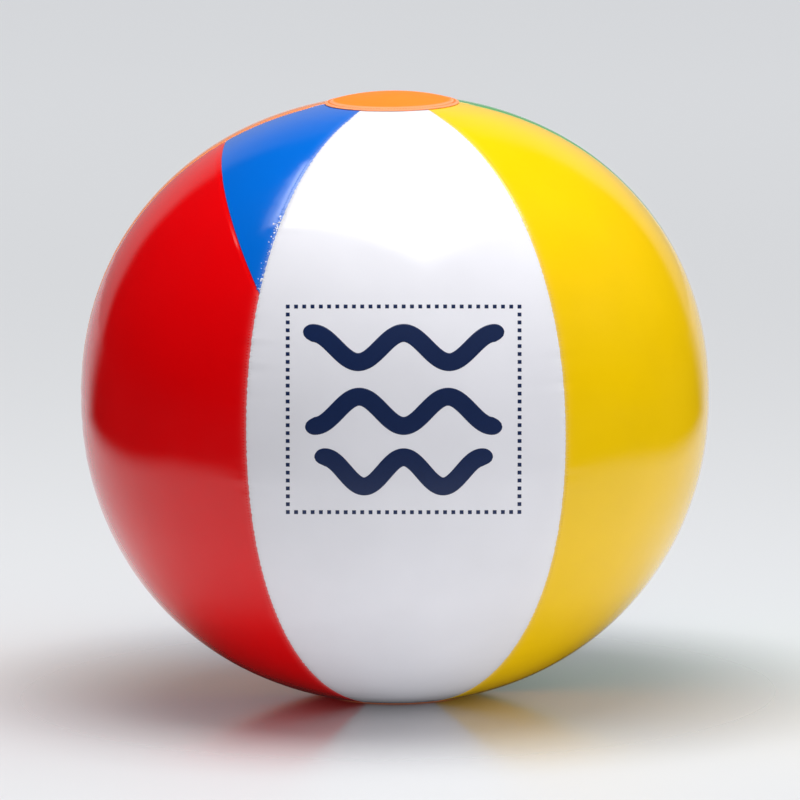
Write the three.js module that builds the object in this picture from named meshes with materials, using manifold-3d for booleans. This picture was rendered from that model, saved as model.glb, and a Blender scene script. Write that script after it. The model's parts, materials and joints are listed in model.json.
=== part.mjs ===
// Inflatable beach ball: welded PVC gores, two pole caps and a push-in inflation valve.
// Millimetres. +Z runs up the pole axis, and the origin is the middle of the bottom cap's
// flat face. The white gore faces -Y and the gore with the valve faces +Y.

import * as THREE from "three";
import { mergeVertices } from "three/addons/utils/BufferGeometryUtils.js";
import Module from "manifold-3d";

const DEGREE = Math.PI / 180;

// The inflated ball
const BALL_RADIUS = 150;
const BALL_HEIGHT = 287;
const GORE_COUNT = 6;
const BULGE = 2.09; // exponent of the meridian's superellipse; 2 is an ellipse
const FILM = 0.25;
const SEAM_GAP = 0.3; // clear space between two welded hems
const HEM = 4; // width of the inward-turned weld hem
const GORE_TIP_RADIUS = 20; // the gores end here, under the caps

// Pole caps
const CAP_RADIUS = 32;
const CAP_THICKNESS = 0.35;
const CAP_GAP = 0.1;
const CAP_WELD_DEPTH = 0.15;
const CAP_WELD_INNER = 28.4;
const CAP_WELD_OUTER = 31;

// The split gore: red below a slanting lap weld, blue above it
const LAP = 4;
const LAP_GAP = 0.3;
const LAP_LATITUDE_BY_WHITE = 26 * DEGREE;
const LAP_LATITUDE_BY_ORANGE = 57.5 * DEGREE;

// Inflation valve, in its own frame: z = 0 on the film, +z outwards, +y towards the top cap
const VALVE_LATITUDE = 52 * DEGREE;
const VALVE_HOLE_RADIUS = 8.8;
const FLANGE_INNER = 8.5;
const FLANGE_OUTER = 12.5;
const FLANGE_THICKNESS = 0.5;
const FLANGE_EDGE = 0.25;
const FLANGE_SEAT_GAP = 0.2;
const DIAPHRAGM_TOP_RADIUS = 8.3;
const DIAPHRAGM_FOOT_RADIUS = 5.1;
const DIAPHRAGM_DEPTH = 10;
const DIAPHRAGM_WALL = 0.45;
const STEM_BORE = 3;
const STEM_RADIUS = 4.3;
const STEM_FOOT = -13.5;
const STEM_TOP = 1;
const COLLAR_RADIUS = 5.2;
const COLLAR_THICKNESS = 0.7;
const STRAP_WIDTH = 3.2;
const STRAP_THICKNESS = 0.65;
const STRAP_REACH = 7.7; // the strap and its lug both end here, short of the fold line
const PLUG_GAP = 0.3;
const PLUG_HEAD_RADIUS = 5;
const PLUG_HEAD_THICKNESS = 1.4;
const PLUG_TAB_REACH = 7.6;
const PLUG_SHANK = [[1.2, -4.3], [1.9, -3.4], [2.3, -2.5], [2.62, -1.25], [2.75, -0.25]];
const FLAP_RADIUS = 3.9;
const FLAP_THICKNESS = 0.5;
const FLAP_GAP = 0.3;

// Fineness of the facets
const FACE_STEPS = 10; // across a gore
const MERIDIAN_STEPS = 20; // up a whole gore between its flat ends
const CAP_SIDES = 48;
const VALVE_SIDES = 32;

const COLOURS = {
  white: "#f1f1f3",
  yellow: "#efd400",
  green: "#2fa84f",
  blue: "#0a6fd8",
  orange: "#f7962c",
  red: "#cf0014",
  clear: "#dfe8ea",
};

// Worked out from the sizes above
const FLAT_HEIGHT = BALL_HEIGHT / 2 - CAP_THICKNESS - CAP_GAP;
const POLE_REACH = FLAT_HEIGHT / (1 - (CAP_RADIUS / BALL_RADIUS) ** BULGE) ** (1 / BULGE);
const SHOULDER = Math.atan2(FLAT_HEIGHT, CAP_RADIUS);
const TIP = Math.atan2(FLAT_HEIGHT, GORE_TIP_RADIUS);
const HALF_GORE = Math.PI / GORE_COUNT;

const wasm = await Module();
wasm.setup();

// ---------------------------------------------------------------- solids

function toManifold(geometry) {
  const bare = geometry.clone();
  bare.deleteAttribute("normal");
  bare.deleteAttribute("uv");
  const merged = mergeVertices(bare, 1e-4);
  return new wasm.Manifold(new wasm.Mesh({
    numProp: 3,
    vertProperties: new Float32Array(merged.attributes.position.array),
    triVerts: new Uint32Array(merged.index.array),
  }));
}

function toGeometry(manifold) {
  const mesh = manifold.getMesh();
  const geometry = new THREE.BufferGeometry();
  geometry.setAttribute("position", new THREE.BufferAttribute(mesh.vertProperties, 3));
  geometry.setIndex(new THREE.BufferAttribute(mesh.triVerts, 1));
  geometry.computeVertexNormals();
  return geometry;
}

function joined(...geometries) {
  return toGeometry(geometries.map(toManifold).reduce((all, next) => all.add(next)));
}

// A solid of revolution about +Z. The outline of [radius, height] runs anticlockwise.
function turned(outline, sides) {
  const points = outline.map(([radius, height]) => new THREE.Vector2(radius, height));
  return new THREE.LatheGeometry(points, sides).rotateX(Math.PI / 2);
}

function turnedRing(outline, sides) {
  return turned([...outline, outline[0]], sides);
}

// A plate between two heights, centred on x = 0 and running from one y to another.
function plate(width, fromY, toY, bottom, top) {
  const box = new THREE.BoxGeometry(width, toY - fromY, top - bottom);
  return box.translate(0, (fromY + toY) / 2, (bottom + top) / 2);
}

// A closed sheet between two equal grids of points. Across the grid and then up it, the
// points turn anticlockwise seen from the outer side.
function thickSheet(outer, inner) {
  const rows = outer.length;
  const columns = outer[0].length;
  const points = [...outer.flat(), ...inner.flat()];
  const innerStart = rows * columns;
  const at = (row, column) => row * columns + column;
  const triangles = [];
  const quad = (a, b, c, d) => triangles.push(a, b, c, a, c, d);

  for (let row = 0; row < rows - 1; row++) {
    for (let column = 0; column < columns - 1; column++) {
      const corners = [at(row, column), at(row, column + 1), at(row + 1, column + 1), at(row + 1, column)];
      quad(...corners);
      quad(...corners.reverse().map((corner) => corner + innerStart));
    }
  }

  const rim = [];
  for (let column = 0; column < columns - 1; column++) rim.push(at(0, column));
  for (let row = 0; row < rows - 1; row++) rim.push(at(row, columns - 1));
  for (let column = columns - 1; column > 0; column--) rim.push(at(rows - 1, column));
  for (let row = rows - 1; row > 0; row--) rim.push(at(row, 0));
  rim.forEach((here, index) => {
    const next = rim[(index + 1) % rim.length];
    quad(next, here, here + innerStart, next + innerStart);
  });

  const geometry = new THREE.BufferGeometry().setFromPoints(points);
  geometry.setIndex(triangles);
  geometry.computeVertexNormals();
  return geometry;
}

// ---------------------------------------------------------------- the ball's meridian

// Distance from the pole axis and height above the equator, on the outside of the film.
function meridian(latitude) {
  const across = Math.cos(latitude) ** BULGE;
  const along = (Math.abs(Math.sin(latitude)) * BALL_RADIUS / POLE_REACH) ** BULGE;
  const onCurve = BALL_RADIUS / (across + along) ** (1 / BULGE);
  const onFlat = FLAT_HEIGHT / Math.max(Math.abs(Math.sin(latitude)), 1e-9);
  const reach = Math.min(onCurve, onFlat);
  return new THREE.Vector2(reach * Math.cos(latitude), reach * Math.sin(latitude));
}

// Outward normal of the meridian, as [away from the axis, up].
function meridianNormal(latitude) {
  const step = DEGREE;
  const along = meridian(latitude + step).sub(meridian(latitude - step)).normalize();
  return new THREE.Vector2(along.y, -along.x);
}

// Point and outward normal on the ball, for a gore that faces -Y.
function onBall(longitude, latitude) {
  const away = new THREE.Vector3(Math.sin(longitude), -Math.cos(longitude), 0);
  const place = meridian(latitude);
  const lean = meridianNormal(latitude);
  return {
    point: away.clone().multiplyScalar(place.x).setZ(place.y),
    normal: away.clone().multiplyScalar(lean.x).setZ(lean.y),
  };
}

// ---------------------------------------------------------------- gores

// One point of a gore's section. Columns run hem end, corner, face, corner, hem end, and
// depth is the distance inside the ball's surface of the skin that is being drawn.
function sectionPoint(column, latitude, depth) {
  const step = THREE.MathUtils.clamp(column - 1, 0, FACE_STEPS);
  const longitude = HALF_GORE * (2 * step / FACE_STEPS - 1);
  const { point, normal } = onBall(longitude, latitude);
  const atCorner = step === 0 || step === FACE_STEPS;
  const atHemEnd = column === 0 || column === FACE_STEPS + 2;
  if (atCorner) {
    const inwards = new THREE.Vector3(Math.cos(longitude), Math.sin(longitude), 0);
    inwards.multiplyScalar(-Math.sign(longitude));
    point.addScaledVector(inwards, SEAM_GAP / 2 + depth);
  }
  return point.addScaledVector(normal, atHemEnd ? -HEM : -depth);
}

// A film panel. rowsAt gives the { latitude, depth } of each row at a longitude.
function panel(rowsAt) {
  const skin = (thickness) => {
    const columns = [];
    for (let column = 0; column <= FACE_STEPS + 2; column++) {
      const step = THREE.MathUtils.clamp(column - 1, 0, FACE_STEPS);
      const rows = rowsAt(HALF_GORE * (2 * step / FACE_STEPS - 1));
      columns.push(rows.map(({ latitude, depth }) => sectionPoint(column, latitude, depth + thickness)));
    }
    return columns[0].map((_, row) => columns.map((column) => column[row]));
  };
  return thickSheet(skin(0), skin(FILM));
}

// Rows from one latitude to another, with one at each shoulder where the film turns flat.
function evenRows(from, to, steps) {
  const low = Math.max(from, -SHOULDER);
  const high = Math.min(to, SHOULDER);
  const latitudes = from < low ? [from] : [];
  for (let step = 0; step <= steps; step++) latitudes.push(THREE.MathUtils.lerp(low, high, step / steps));
  if (to > high) latitudes.push(to);
  return latitudes.map((latitude) => ({ latitude, depth: 0 }));
}

function wholeGore() {
  return panel(() => evenRows(-TIP, TIP, MERIDIAN_STEPS));
}

// Latitude of the lap weld, on a great circle between its two ends.
function lapLatitude(longitude) {
  const fromOrange = Math.tan(LAP_LATITUDE_BY_ORANGE) * Math.sin(HALF_GORE - longitude);
  const fromWhite = Math.tan(LAP_LATITUDE_BY_WHITE) * Math.sin(HALF_GORE + longitude);
  return Math.atan((fromOrange + fromWhite) / Math.sin(2 * HALF_GORE));
}

// Latitudes of a strip that starts and ends at these distances above the lap weld's edge.
function alongLap(longitude, ...distances) {
  return distances.map((distance) => lapLatitude(longitude) + distance / BALL_RADIUS);
}

// The red panel ends in a tongue that steps in and runs under the blue one's edge.
function lowerSplitPanel() {
  const depth = FILM + LAP_GAP;
  return panel((longitude) => {
    const [bend, foot, end] = alongLap(longitude, -4 * LAP_GAP, -LAP_GAP, LAP);
    const rows = evenRows(-TIP, bend, Math.round(MERIDIAN_STEPS * 0.7));
    return [...rows, { latitude: foot, depth }, { latitude: end, depth }];
  });
}

function upperSplitPanel() {
  return panel((longitude) => {
    const [edge, weldTop] = alongLap(longitude, 0, LAP);
    return [{ latitude: edge, depth: 0 }, ...evenRows(weldTop, TIP, Math.round(MERIDIAN_STEPS * 0.3))];
  });
}

// ---------------------------------------------------------------- pole caps

// A flat disc with a pressed weld ring just inside its rim.
function poleCap() {
  const pressed = CAP_THICKNESS - CAP_WELD_DEPTH;
  return turned([
    [0, 0],
    [CAP_RADIUS, 0],
    [CAP_RADIUS, CAP_THICKNESS],
    [CAP_WELD_OUTER, CAP_THICKNESS],
    [CAP_WELD_OUTER, pressed],
    [CAP_WELD_INNER, pressed],
    [CAP_WELD_INNER, CAP_THICKNESS],
    [0, CAP_THICKNESS],
  ], CAP_SIDES);
}

// ---------------------------------------------------------------- valve

// Frame of the valve on a gore that faces -Y.
function valveFrame() {
  const { point, normal } = onBall(0, VALVE_LATITUDE);
  const across = new THREE.Vector3(1, 0, 0);
  const upSlope = new THREE.Vector3().crossVectors(normal, across);
  return new THREE.Matrix4().makeBasis(across, upSlope, normal).setPosition(point);
}

function goreWithValveHole() {
  const drill = new THREE.CylinderGeometry(VALVE_HOLE_RADIUS, VALVE_HOLE_RADIUS, HEM, VALVE_SIDES);
  drill.rotateX(Math.PI / 2).applyMatrix4(valveFrame());
  return toGeometry(toManifold(wholeGore()).subtract(toManifold(drill)));
}

// The flange lies on the film, so its underside falls away as the ball does.
function flange() {
  const seat = (radius) => FLANGE_SEAT_GAP - radius ** 2 / (2 * BALL_RADIUS);
  return turnedRing([
    [FLANGE_INNER, seat(FLANGE_INNER)],
    [FLANGE_OUTER, seat(FLANGE_OUTER)],
    [FLANGE_OUTER, seat(FLANGE_OUTER) + FLANGE_EDGE],
    [FLANGE_OUTER - 1, seat(FLANGE_OUTER - 1) + FLANGE_THICKNESS],
    [FLANGE_INNER, seat(FLANGE_INNER) + FLANGE_THICKNESS],
  ], VALVE_SIDES);
}

// The thin skirt that folds inside out when the stem is pulled out of the ball.
function diaphragm() {
  return turnedRing([
    [DIAPHRAGM_FOOT_RADIUS - DIAPHRAGM_WALL, -DIAPHRAGM_DEPTH],
    [DIAPHRAGM_FOOT_RADIUS, -DIAPHRAGM_DEPTH],
    [DIAPHRAGM_TOP_RADIUS, 0],
    [DIAPHRAGM_TOP_RADIUS - DIAPHRAGM_WALL, 0],
  ], VALVE_SIDES);
}

function stem() {
  const collarFoot = STEM_TOP - COLLAR_THICKNESS;
  const tube = turnedRing([
    [STEM_BORE, STEM_FOOT],
    [STEM_RADIUS, STEM_FOOT],
    [STEM_RADIUS, collarFoot],
    [COLLAR_RADIUS, collarFoot],
    [COLLAR_RADIUS, STEM_TOP],
    [STEM_BORE, STEM_TOP],
  ], VALVE_SIDES);
  const lug = plate(STRAP_WIDTH, STEM_RADIUS, STRAP_REACH, collarFoot + 0.05, STEM_TOP - 0.05);
  return joined(tube, lug);
}

// A tapered plug whose nose is narrow enough to swing out of the bore on its strap.
function plug() {
  const headFoot = STEM_TOP + PLUG_GAP;
  const headTop = headFoot + PLUG_HEAD_THICKNESS;
  const bevel = PLUG_HEAD_THICKNESS / 4;
  const shankTop = PLUG_SHANK.at(-1)[0];
  const body = turned([
    [0, PLUG_SHANK[0][1]],
    ...PLUG_SHANK,
    [shankTop, headFoot],
    [PLUG_HEAD_RADIUS, headFoot],
    [PLUG_HEAD_RADIUS, headTop - bevel],
    [PLUG_HEAD_RADIUS - bevel, headTop],
    [0, headTop],
  ], VALVE_SIDES);
  const buried = PLUG_HEAD_RADIUS - 1;
  const strapFoot = headFoot + 0.05;
  const strap = plate(STRAP_WIDTH, buried, STRAP_REACH, strapFoot, strapFoot + STRAP_THICKNESS);
  const tab = plate(STRAP_WIDTH, -PLUG_TAB_REACH, -buried, strapFoot, strapFoot + STRAP_THICKNESS);
  return joined(body, strap, tab);
}

// The flap that shuts off the stem's inner end.
function checkFlap() {
  const top = STEM_FOOT - FLAP_GAP;
  return turned([
    [0, top - FLAP_THICKNESS],
    [FLAP_RADIUS, top - FLAP_THICKNESS],
    [FLAP_RADIUS, top],
    [0, top],
  ], VALVE_SIDES);
}

// ---------------------------------------------------------------- assembly

function piece(name, geometry, colour, roughness = 0.2) {
  const material = new THREE.MeshStandardMaterial({ color: colour, roughness, metalness: 0 });
  const mesh = new THREE.Mesh(geometry, material);
  mesh.name = name;
  return mesh;
}

// A group turned so that what faces -Y in it faces the given number of gores to the right.
function turnedGroup(goresToTheRight, ...children) {
  const group = new THREE.Group();
  group.rotation.z = goresToTheRight * 2 * HALF_GORE;
  group.add(...children);
  return group;
}

function valve() {
  const group = new THREE.Group();
  valveFrame().decompose(group.position, group.quaternion, group.scale);
  group.add(
    piece("valve_flange", flange(), COLOURS.clear),
    piece("valve_diaphragm", diaphragm(), COLOURS.clear),
    piece("valve_stem", stem(), COLOURS.clear),
    piece("check_flap", checkFlap(), COLOURS.clear),
    piece("valve_plug", plug(), COLOURS.clear),
  );
  return group;
}

function caps() {
  const top = piece("top_cap", poleCap(), COLOURS.orange);
  const bottom = piece("bottom_cap", poleCap(), COLOURS.orange);
  top.position.z = FLAT_HEIGHT + CAP_GAP;
  bottom.position.z = -FLAT_HEIGHT - CAP_GAP;
  bottom.rotation.x = Math.PI;
  return [top, bottom];
}

function ball() {
  const group = new THREE.Group();
  group.position.z = BALL_HEIGHT / 2;
  group.add(
    turnedGroup(0, piece("white_gore", wholeGore(), COLOURS.white)),
    turnedGroup(1, piece("yellow_gore", wholeGore(), COLOURS.yellow)),
    turnedGroup(2, piece("green_gore", wholeGore(), COLOURS.green)),
    turnedGroup(3, piece("blue_gore", goreWithValveHole(), COLOURS.blue), valve()),
    turnedGroup(-2, piece("orange_gore", wholeGore(), COLOURS.orange)),
    turnedGroup(
      -1,
      piece("red_gore_lower", lowerSplitPanel(), COLOURS.red),
      piece("blue_gore_upper", upperSplitPanel(), COLOURS.blue),
    ),
    ...caps(),
  );
  return group;
}

export default ball();
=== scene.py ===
"""Film, welds, print and valve of an inflatable beach ball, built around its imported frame."""

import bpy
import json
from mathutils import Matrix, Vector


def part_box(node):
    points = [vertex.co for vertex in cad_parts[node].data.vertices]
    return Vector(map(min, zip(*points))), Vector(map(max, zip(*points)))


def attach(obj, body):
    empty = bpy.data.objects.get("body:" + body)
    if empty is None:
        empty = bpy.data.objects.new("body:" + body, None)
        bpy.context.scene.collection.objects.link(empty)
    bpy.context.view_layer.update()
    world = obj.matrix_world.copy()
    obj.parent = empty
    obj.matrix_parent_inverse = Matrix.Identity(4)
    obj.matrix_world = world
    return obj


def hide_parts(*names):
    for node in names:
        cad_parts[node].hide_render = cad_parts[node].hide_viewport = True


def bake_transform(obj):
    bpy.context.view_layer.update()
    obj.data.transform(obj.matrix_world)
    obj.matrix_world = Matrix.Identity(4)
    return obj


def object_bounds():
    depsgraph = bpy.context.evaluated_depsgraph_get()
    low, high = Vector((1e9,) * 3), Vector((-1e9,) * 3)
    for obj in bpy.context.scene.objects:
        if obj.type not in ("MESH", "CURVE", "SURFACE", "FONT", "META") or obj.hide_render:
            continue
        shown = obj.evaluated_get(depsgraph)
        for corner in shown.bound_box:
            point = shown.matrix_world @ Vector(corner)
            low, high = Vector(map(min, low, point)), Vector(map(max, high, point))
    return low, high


bl_info = {
    "name": "Inflatable Beach Ball",
    "version": (1, 0, 0),
    "blender": (4, 5, 0),
    "location": "View3D > Sidebar > Beach Ball",
    "description": "Builds the film gores, welds, caps, print and valve of an inflatable beach ball",
    "category": "Add Mesh",
}

import json
import math

import bmesh
import bpy
import numpy as np
from mathutils import Matrix, Vector

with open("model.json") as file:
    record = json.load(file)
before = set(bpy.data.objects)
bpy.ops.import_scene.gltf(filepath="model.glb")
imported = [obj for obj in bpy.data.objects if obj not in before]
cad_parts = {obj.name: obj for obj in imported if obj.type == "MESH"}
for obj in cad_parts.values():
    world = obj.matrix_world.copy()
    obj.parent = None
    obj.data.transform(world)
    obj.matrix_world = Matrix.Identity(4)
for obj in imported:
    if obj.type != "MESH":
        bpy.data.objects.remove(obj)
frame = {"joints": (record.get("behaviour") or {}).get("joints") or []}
CAD_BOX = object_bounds()

MM = 0.001
GORE_ANGLE = math.radians(60)
GORE_TIP_RADIUS = 20 * MM
BULGE = 2.09  # exponent of the meridian's superellipse, as in the CAD model

# Blown up, the film is fuller below its equator and rounder above it than the CAD model's.
WAIST_RISE = 1.6 * MM
CROWN_DROP = 1.55 * MM
BULGE_ABOVE = 2.10
BULGE_BELOW = 2.086

# Sizes that the frame gives
BALL_RADIUS = CAD_BOX[1].x
BALL_HEIGHT = CAD_BOX[1].z
CENTRE_HEIGHT = BALL_HEIGHT / 2
CAP_LOW, CAP_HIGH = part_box("top_cap")
CAP_RADIUS = CAP_HIGH.x
CAP_THICKNESS = CAP_HIGH.z - CAP_LOW.z
FLAT_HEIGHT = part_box("white_gore")[1].z - CENTRE_HEIGHT
JOINTS = {joint["name"]: joint for joint in frame["joints"]}

# Each gore's place, counted in gores to the right of the white one, and its colour
WHOLE_GORES = {
    "white_gore": (0, "white"),
    "yellow_gore": (1, "yellow"),
    "green_gore": (2, "green"),
    "blue_gore": (3, "blue"),
    "orange_gore": (-2, "orange"),
}
SPLIT_GORE_PLACE = -1
ROUGH_SEAM = 5  # seam 0 is right of the white gore, and seam 5 is left of it
VALVE_PATCH = 17 * MM  # round the valve the film keeps to the CAD model
CROWN_SHAPE = 2.2  # exponent of a cap's crown

# Studio, in metres, and the pale arch's half width and height as parts of a direction
FLOOR_REACH = 40.0
SOFTBOX_WIDTH, SOFTBOX_DEPTH = 1.34, 0.72
SOFTBOX_X, SOFTBOX_Y = -0.085, -0.11
ARCH_WIDTH, ARCH_HEIGHT = 0.64, 0.86


# ------------------------------------------------------------------ settings


def size(name, millimetres, description):
    """A length that a user may change, given in millimetres."""
    return bpy.props.FloatProperty(
        name=name, description=description, default=millimetres * MM, unit="LENGTH", precision=5
    )


def share(name, value, description):
    """A plain number that a user may change."""
    return bpy.props.FloatProperty(name=name, description=description, default=value)


def angle(name, degrees, description):
    """An angle that a user may change, given in degrees."""
    return bpy.props.FloatProperty(
        name=name, description=description, default=math.radians(degrees), unit="ROTATION"
    )


def count(name, value, description):
    """A whole number that a user may change."""
    return bpy.props.IntProperty(name=name, description=description, default=value, min=1)


def colour(name, hex_value, description):
    """A colour that a user may change, given as sRGB hex."""
    return bpy.props.FloatVectorProperty(
        name=name, description=description, default=linear(hex_value)[:3], size=3,
        subtype="COLOR", min=0, max=1,
    )


def linear(hex_value):
    """An sRGB hex colour as linear red, green, blue and alpha."""
    channels = [int(hex_value[i:i + 2], 16) / 255 for i in (1, 3, 5)]
    curve = [c / 12.92 if c <= 0.04045 else ((c + 0.055) / 1.055) ** 2.4 for c in channels]
    return (*curve, 1.0)


class BallColours(bpy.types.PropertyGroup):
    """Pigments of the films and the ink."""

    white: colour("White film", "#E4E3E8", "Colour of the printed gore")
    yellow: colour("Yellow film", "#F1C400", "Colour of the gore right of the white one")
    green: colour("Green film", "#2FA44C", "Colour of the gore behind the yellow one")
    blue: colour("Blue film", "#0064C8", "Colour of the valve gore and of the split gore's top")
    orange: colour("Orange film", "#F98420", "Colour of the gore left of the red one")
    cap: colour("Cap film", "#FF7E10", "Colour of the two caps")
    red: colour("Red film", "#E00006", "Colour of the split gore's lower part")
    navy: colour("Ink", "#06214F", "Colour of the print")
    clear: colour("Valve", "#DDE8EA", "Tint of the clear valve parts")


class FilmSizes(bpy.types.PropertyGroup):
    """Film, seams and the ripples beside them."""

    thickness: size("Thickness", 0.25, "Thickness of the film")
    hem: size("Hem", 4, "Width of the weld hem that is turned inwards")
    seam_gap: size("Seam gap", 0.1, "Space between two hems at the surface")
    valley_depth: size("Valley depth", 0.6, "How far the film dips at a seam")
    valley_width: size("Valley width", 1.4, "Distance over which the dip fades")
    pucker_height: size("Pucker height", 0.2, "Height of the puckers beside a seam at mid height")
    pucker_reach: size("Pucker reach", 9, "Distance over which the puckers fade")
    serration: size("Serration", 0.09, "Depth of the weld tool's teeth along a seam")
    serration_pitch: size("Serration pitch", 2.8, "Spacing of the weld tool's teeth")
    ripple_height: size("Ripple height", 0.16, "Height of the broad ripples in the film")
    seam_wander: size("Seam wander", 0.1, "Sideways wander of a seam line")
    rough_seam_wander: size("Rough seam wander", 0.22, "Wander of the white gore's left seam")
    row_pitch: size("Row pitch", 0.7, "Spacing of the mesh rows up a gore")
    columns: count("Columns", 26, "Mesh columns from a seam to the middle of a gore")
    lap: size("Lap", 4, "How far the red film runs under the blue one")
    lap_gap: size("Lap gap", 0.02, "Clear space between the lapped films")
    lap_by_white: angle("Lap by the white gore", 26, "Latitude of the slanting weld's lower end")
    lap_by_orange: angle("Lap by the orange gore", 57.5, "Latitude of the slanting weld's upper end")


class WeldSizes(bpy.types.PropertyGroup):
    """Knurled marks that the welding tool leaves, and white specks beside one seam that are painted
    glints.
    """

    knurl_pitch: size("Knurl pitch", 1.4, "Spacing of the knurl marks along a seam")
    knurl_inset: size("Knurl inset", 1.5, "Distance of the knurl marks from the seam")
    knurl_length: size("Knurl length", 1.5, "Length of a knurl mark across the seam")
    knurl_width: size("Knurl width", 0.55, "Width of a knurl mark")
    knurl_height: size("Knurl height", 0.05, "Height of a knurl mark")
    # Painted glints: white specks beside the split gore's seam that stand in for glints of light.
    glint_count: count("Flash count", 46, "Specks of weld flash beside the split gore's seam")
    glint_seed: count("Flash seed", 11, "Seed for the places of the specks")
    glint_size: size("Flash size", 1.1, "Width of the largest speck")
    glint_top: angle("Flash top", 42, "Latitude up to which the specks reach")
    cap_weld_inner: size("Cap weld inside", 28.4, "Inner radius of a cap's pressed weld ring")
    cap_weld_outer: size("Cap weld outside", 31, "Outer radius of a cap's pressed weld ring")
    cap_weld_depth: size("Cap weld depth", 0.15, "Depth of a cap's pressed weld ring")
    cap_dome: size("Cap dome", 4.6, "How far the air pushes the top cap up in the middle")


class PrintSizes(bpy.types.PropertyGroup):
    """The dotted frame and the wave bands printed on the white gore."""

    width: size("Frame width", 108.1, "Width of the dotted frame between dot centres")
    height: size("Frame height", 95.9, "Height of the dotted frame between dot centres")
    dots_across: count("Dots across", 29, "Dots along the top and the bottom")
    dots_up: count("Dots up", 27, "Dots up each side")
    dot: size("Dot", 1.8, "Side of a square dot")
    right: size("Right", 4.1, "Distance of the print's middle to the right of the ball's axis")
    down: size("Down", 5.8, "Distance of the print's middle below the ball's axis")
    ink_lift: size("Ink lift", 0.02, "Clear space under the ink")
    ink_thickness: size("Ink thickness", 0.03, "Thickness of the ink")
    band: size("Wave band", 8.4, "Thickness of a wave band")
    swing: size("Wave height", 6.8, "Height of a wave above its middle line")


class ViewSettings(bpy.types.PropertyGroup):
    """Camera and studio."""

    azimuth: angle("Azimuth", -2.22, "Camera's turn to the right round the ball")
    elevation: angle("Elevation", 8.45, "Camera's angle above the horizon")
    roll: angle("Roll", 0.6, "Camera's lean to the right")
    distance: size("Distance", 5700, "Camera's distance from the ball's middle")
    frame_width: size("Frame width", 382.3, "Width of the picture at the ball's middle")
    aim_right: size("Aim right", 2.39, "How far right of the ball's middle the camera looks")
    aim_down: size("Aim down", 1.43, "How far below the ball's middle the camera looks")
    key_strength: share("Key light", 16.6, "Power of the overhead softbox, in watts")
    fill_strength: share("Fill", 0.84, "Brightness of the soft light from all round")
    fill_lean: share("Fill lean", 0.95, "How much brighter than the mean the right side's fill is")
    surround: share("Surround", 0.012, "Brightness of the dark studio in reflections")
    backdrop: share("Backdrop", 0.36, "Brightness of the pale backdrop in reflections")
    board_side: size("Board side", 620, "How far to each side the ball mirrors the lit floor")
    board_front: size("Board front", 490, "How far to the front the ball mirrors the lit floor")
    bounce: share("Bounce", 0.6, "Extra light from the floor under the ball")
    horizon: share("Horizon", 0.74, "Brightness of the background itself")


# ------------------------------------------------------------------ nodes and materials


def add_node(tree, kind, inputs=None, **settings):
    """Adds a node, sets its properties, and sets or links its inputs. A node that is given as an
    input stands for the first of its outputs that is in use."""
    node = tree.nodes.new(kind)
    for name, value in settings.items():
        setattr(node, name, value)
    for name, value in (inputs or {}).items():
        if isinstance(value, bpy.types.Node):
            value = next(socket for socket in value.outputs if socket.enabled)
        if isinstance(value, bpy.types.NodeSocket):
            tree.links.new(value, node.inputs[name])
        else:
            node.inputs[name].default_value = value
    return node


def new_material(name):
    """An empty node material, its tree, and the place on the object in metres."""
    material = bpy.data.materials.new(name)
    material.use_nodes = True
    tree = material.node_tree
    tree.nodes.clear()
    return material, tree, add_node(tree, "ShaderNodeTexCoord").outputs["Object"]


def wave_count(millimetres):
    """Scale of a noise texture on Object coordinates whose features are this far apart."""
    return 1 / (millimetres * MM)


def tinted(rgb, factor):
    """A colour made lighter or darker, with its alpha."""
    return tuple(min(1, c * factor) for c in rgb) + (1.0,)


def paler(rgb):
    """A film colour where a weld has stressed it."""
    return tuple(0.7 * c + 0.3 for c in rgb) + (1.0,)


def film_material(name, rgb, glossiest, ior):
    """Calendered, pigmented PVC film. Rollers leave it glossy with a faint orange peel, the
    pigment is a little uneven, and beside a weld the heat makes it paler and duller."""
    material, tree, place = new_material(name)
    # The peel is under 1 mm on the real film, and is drawn at 2.5 mm to show.
    patterns = {"cloud": (38, 2.0), "smear": (24, 4.0), "peel": (2.5, 1.0), "swell": (15, 0.0)}
    noise = {
        pattern: add_node(
            tree, "ShaderNodeTexNoise",
            {"Vector": place, "Scale": wave_count(spacing), "Detail": detail},
        )
        for pattern, (spacing, detail) in patterns.items()
    }
    pigment = add_node(
        tree, "ShaderNodeMix",
        {"Factor": noise["cloud"], "A": tinted(rgb, 0.95), "B": tinted(rgb, 1.05)}, data_type="RGBA",
    )
    weld = add_node(tree, "ShaderNodeAttribute", attribute_name="weld").outputs["Fac"]
    body = add_node(
        tree, "ShaderNodeMix", {"Factor": weld, "A": pigment, "B": paler(rgb)}, data_type="RGBA"
    )
    gloss = add_node(
        tree, "ShaderNodeMapRange",
        {
            "Value": noise["smear"], "From Min": 0.3, "From Max": 0.7,
            "To Min": glossiest, "To Max": 1.45 * glossiest,
        },
    )
    dull = add_node(tree, "ShaderNodeMix", {"Factor": weld, "A": gloss, "B": 0.35})
    fine = add_node(
        tree, "ShaderNodeBump", {"Height": noise["peel"], "Distance": 0.006 * MM, "Strength": 1.0}
    )
    relief = add_node(
        tree, "ShaderNodeBump",
        {"Height": noise["swell"], "Distance": 0.06 * MM, "Strength": 1.0, "Normal": fine},
    )
    shader = add_node(
        tree, "ShaderNodeBsdfPrincipled",
        {"Base Color": body, "Roughness": dull, "IOR": ior, "Normal": relief},
    )
    add_node(tree, "ShaderNodeOutputMaterial", {"Surface": shader})
    return material


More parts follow.
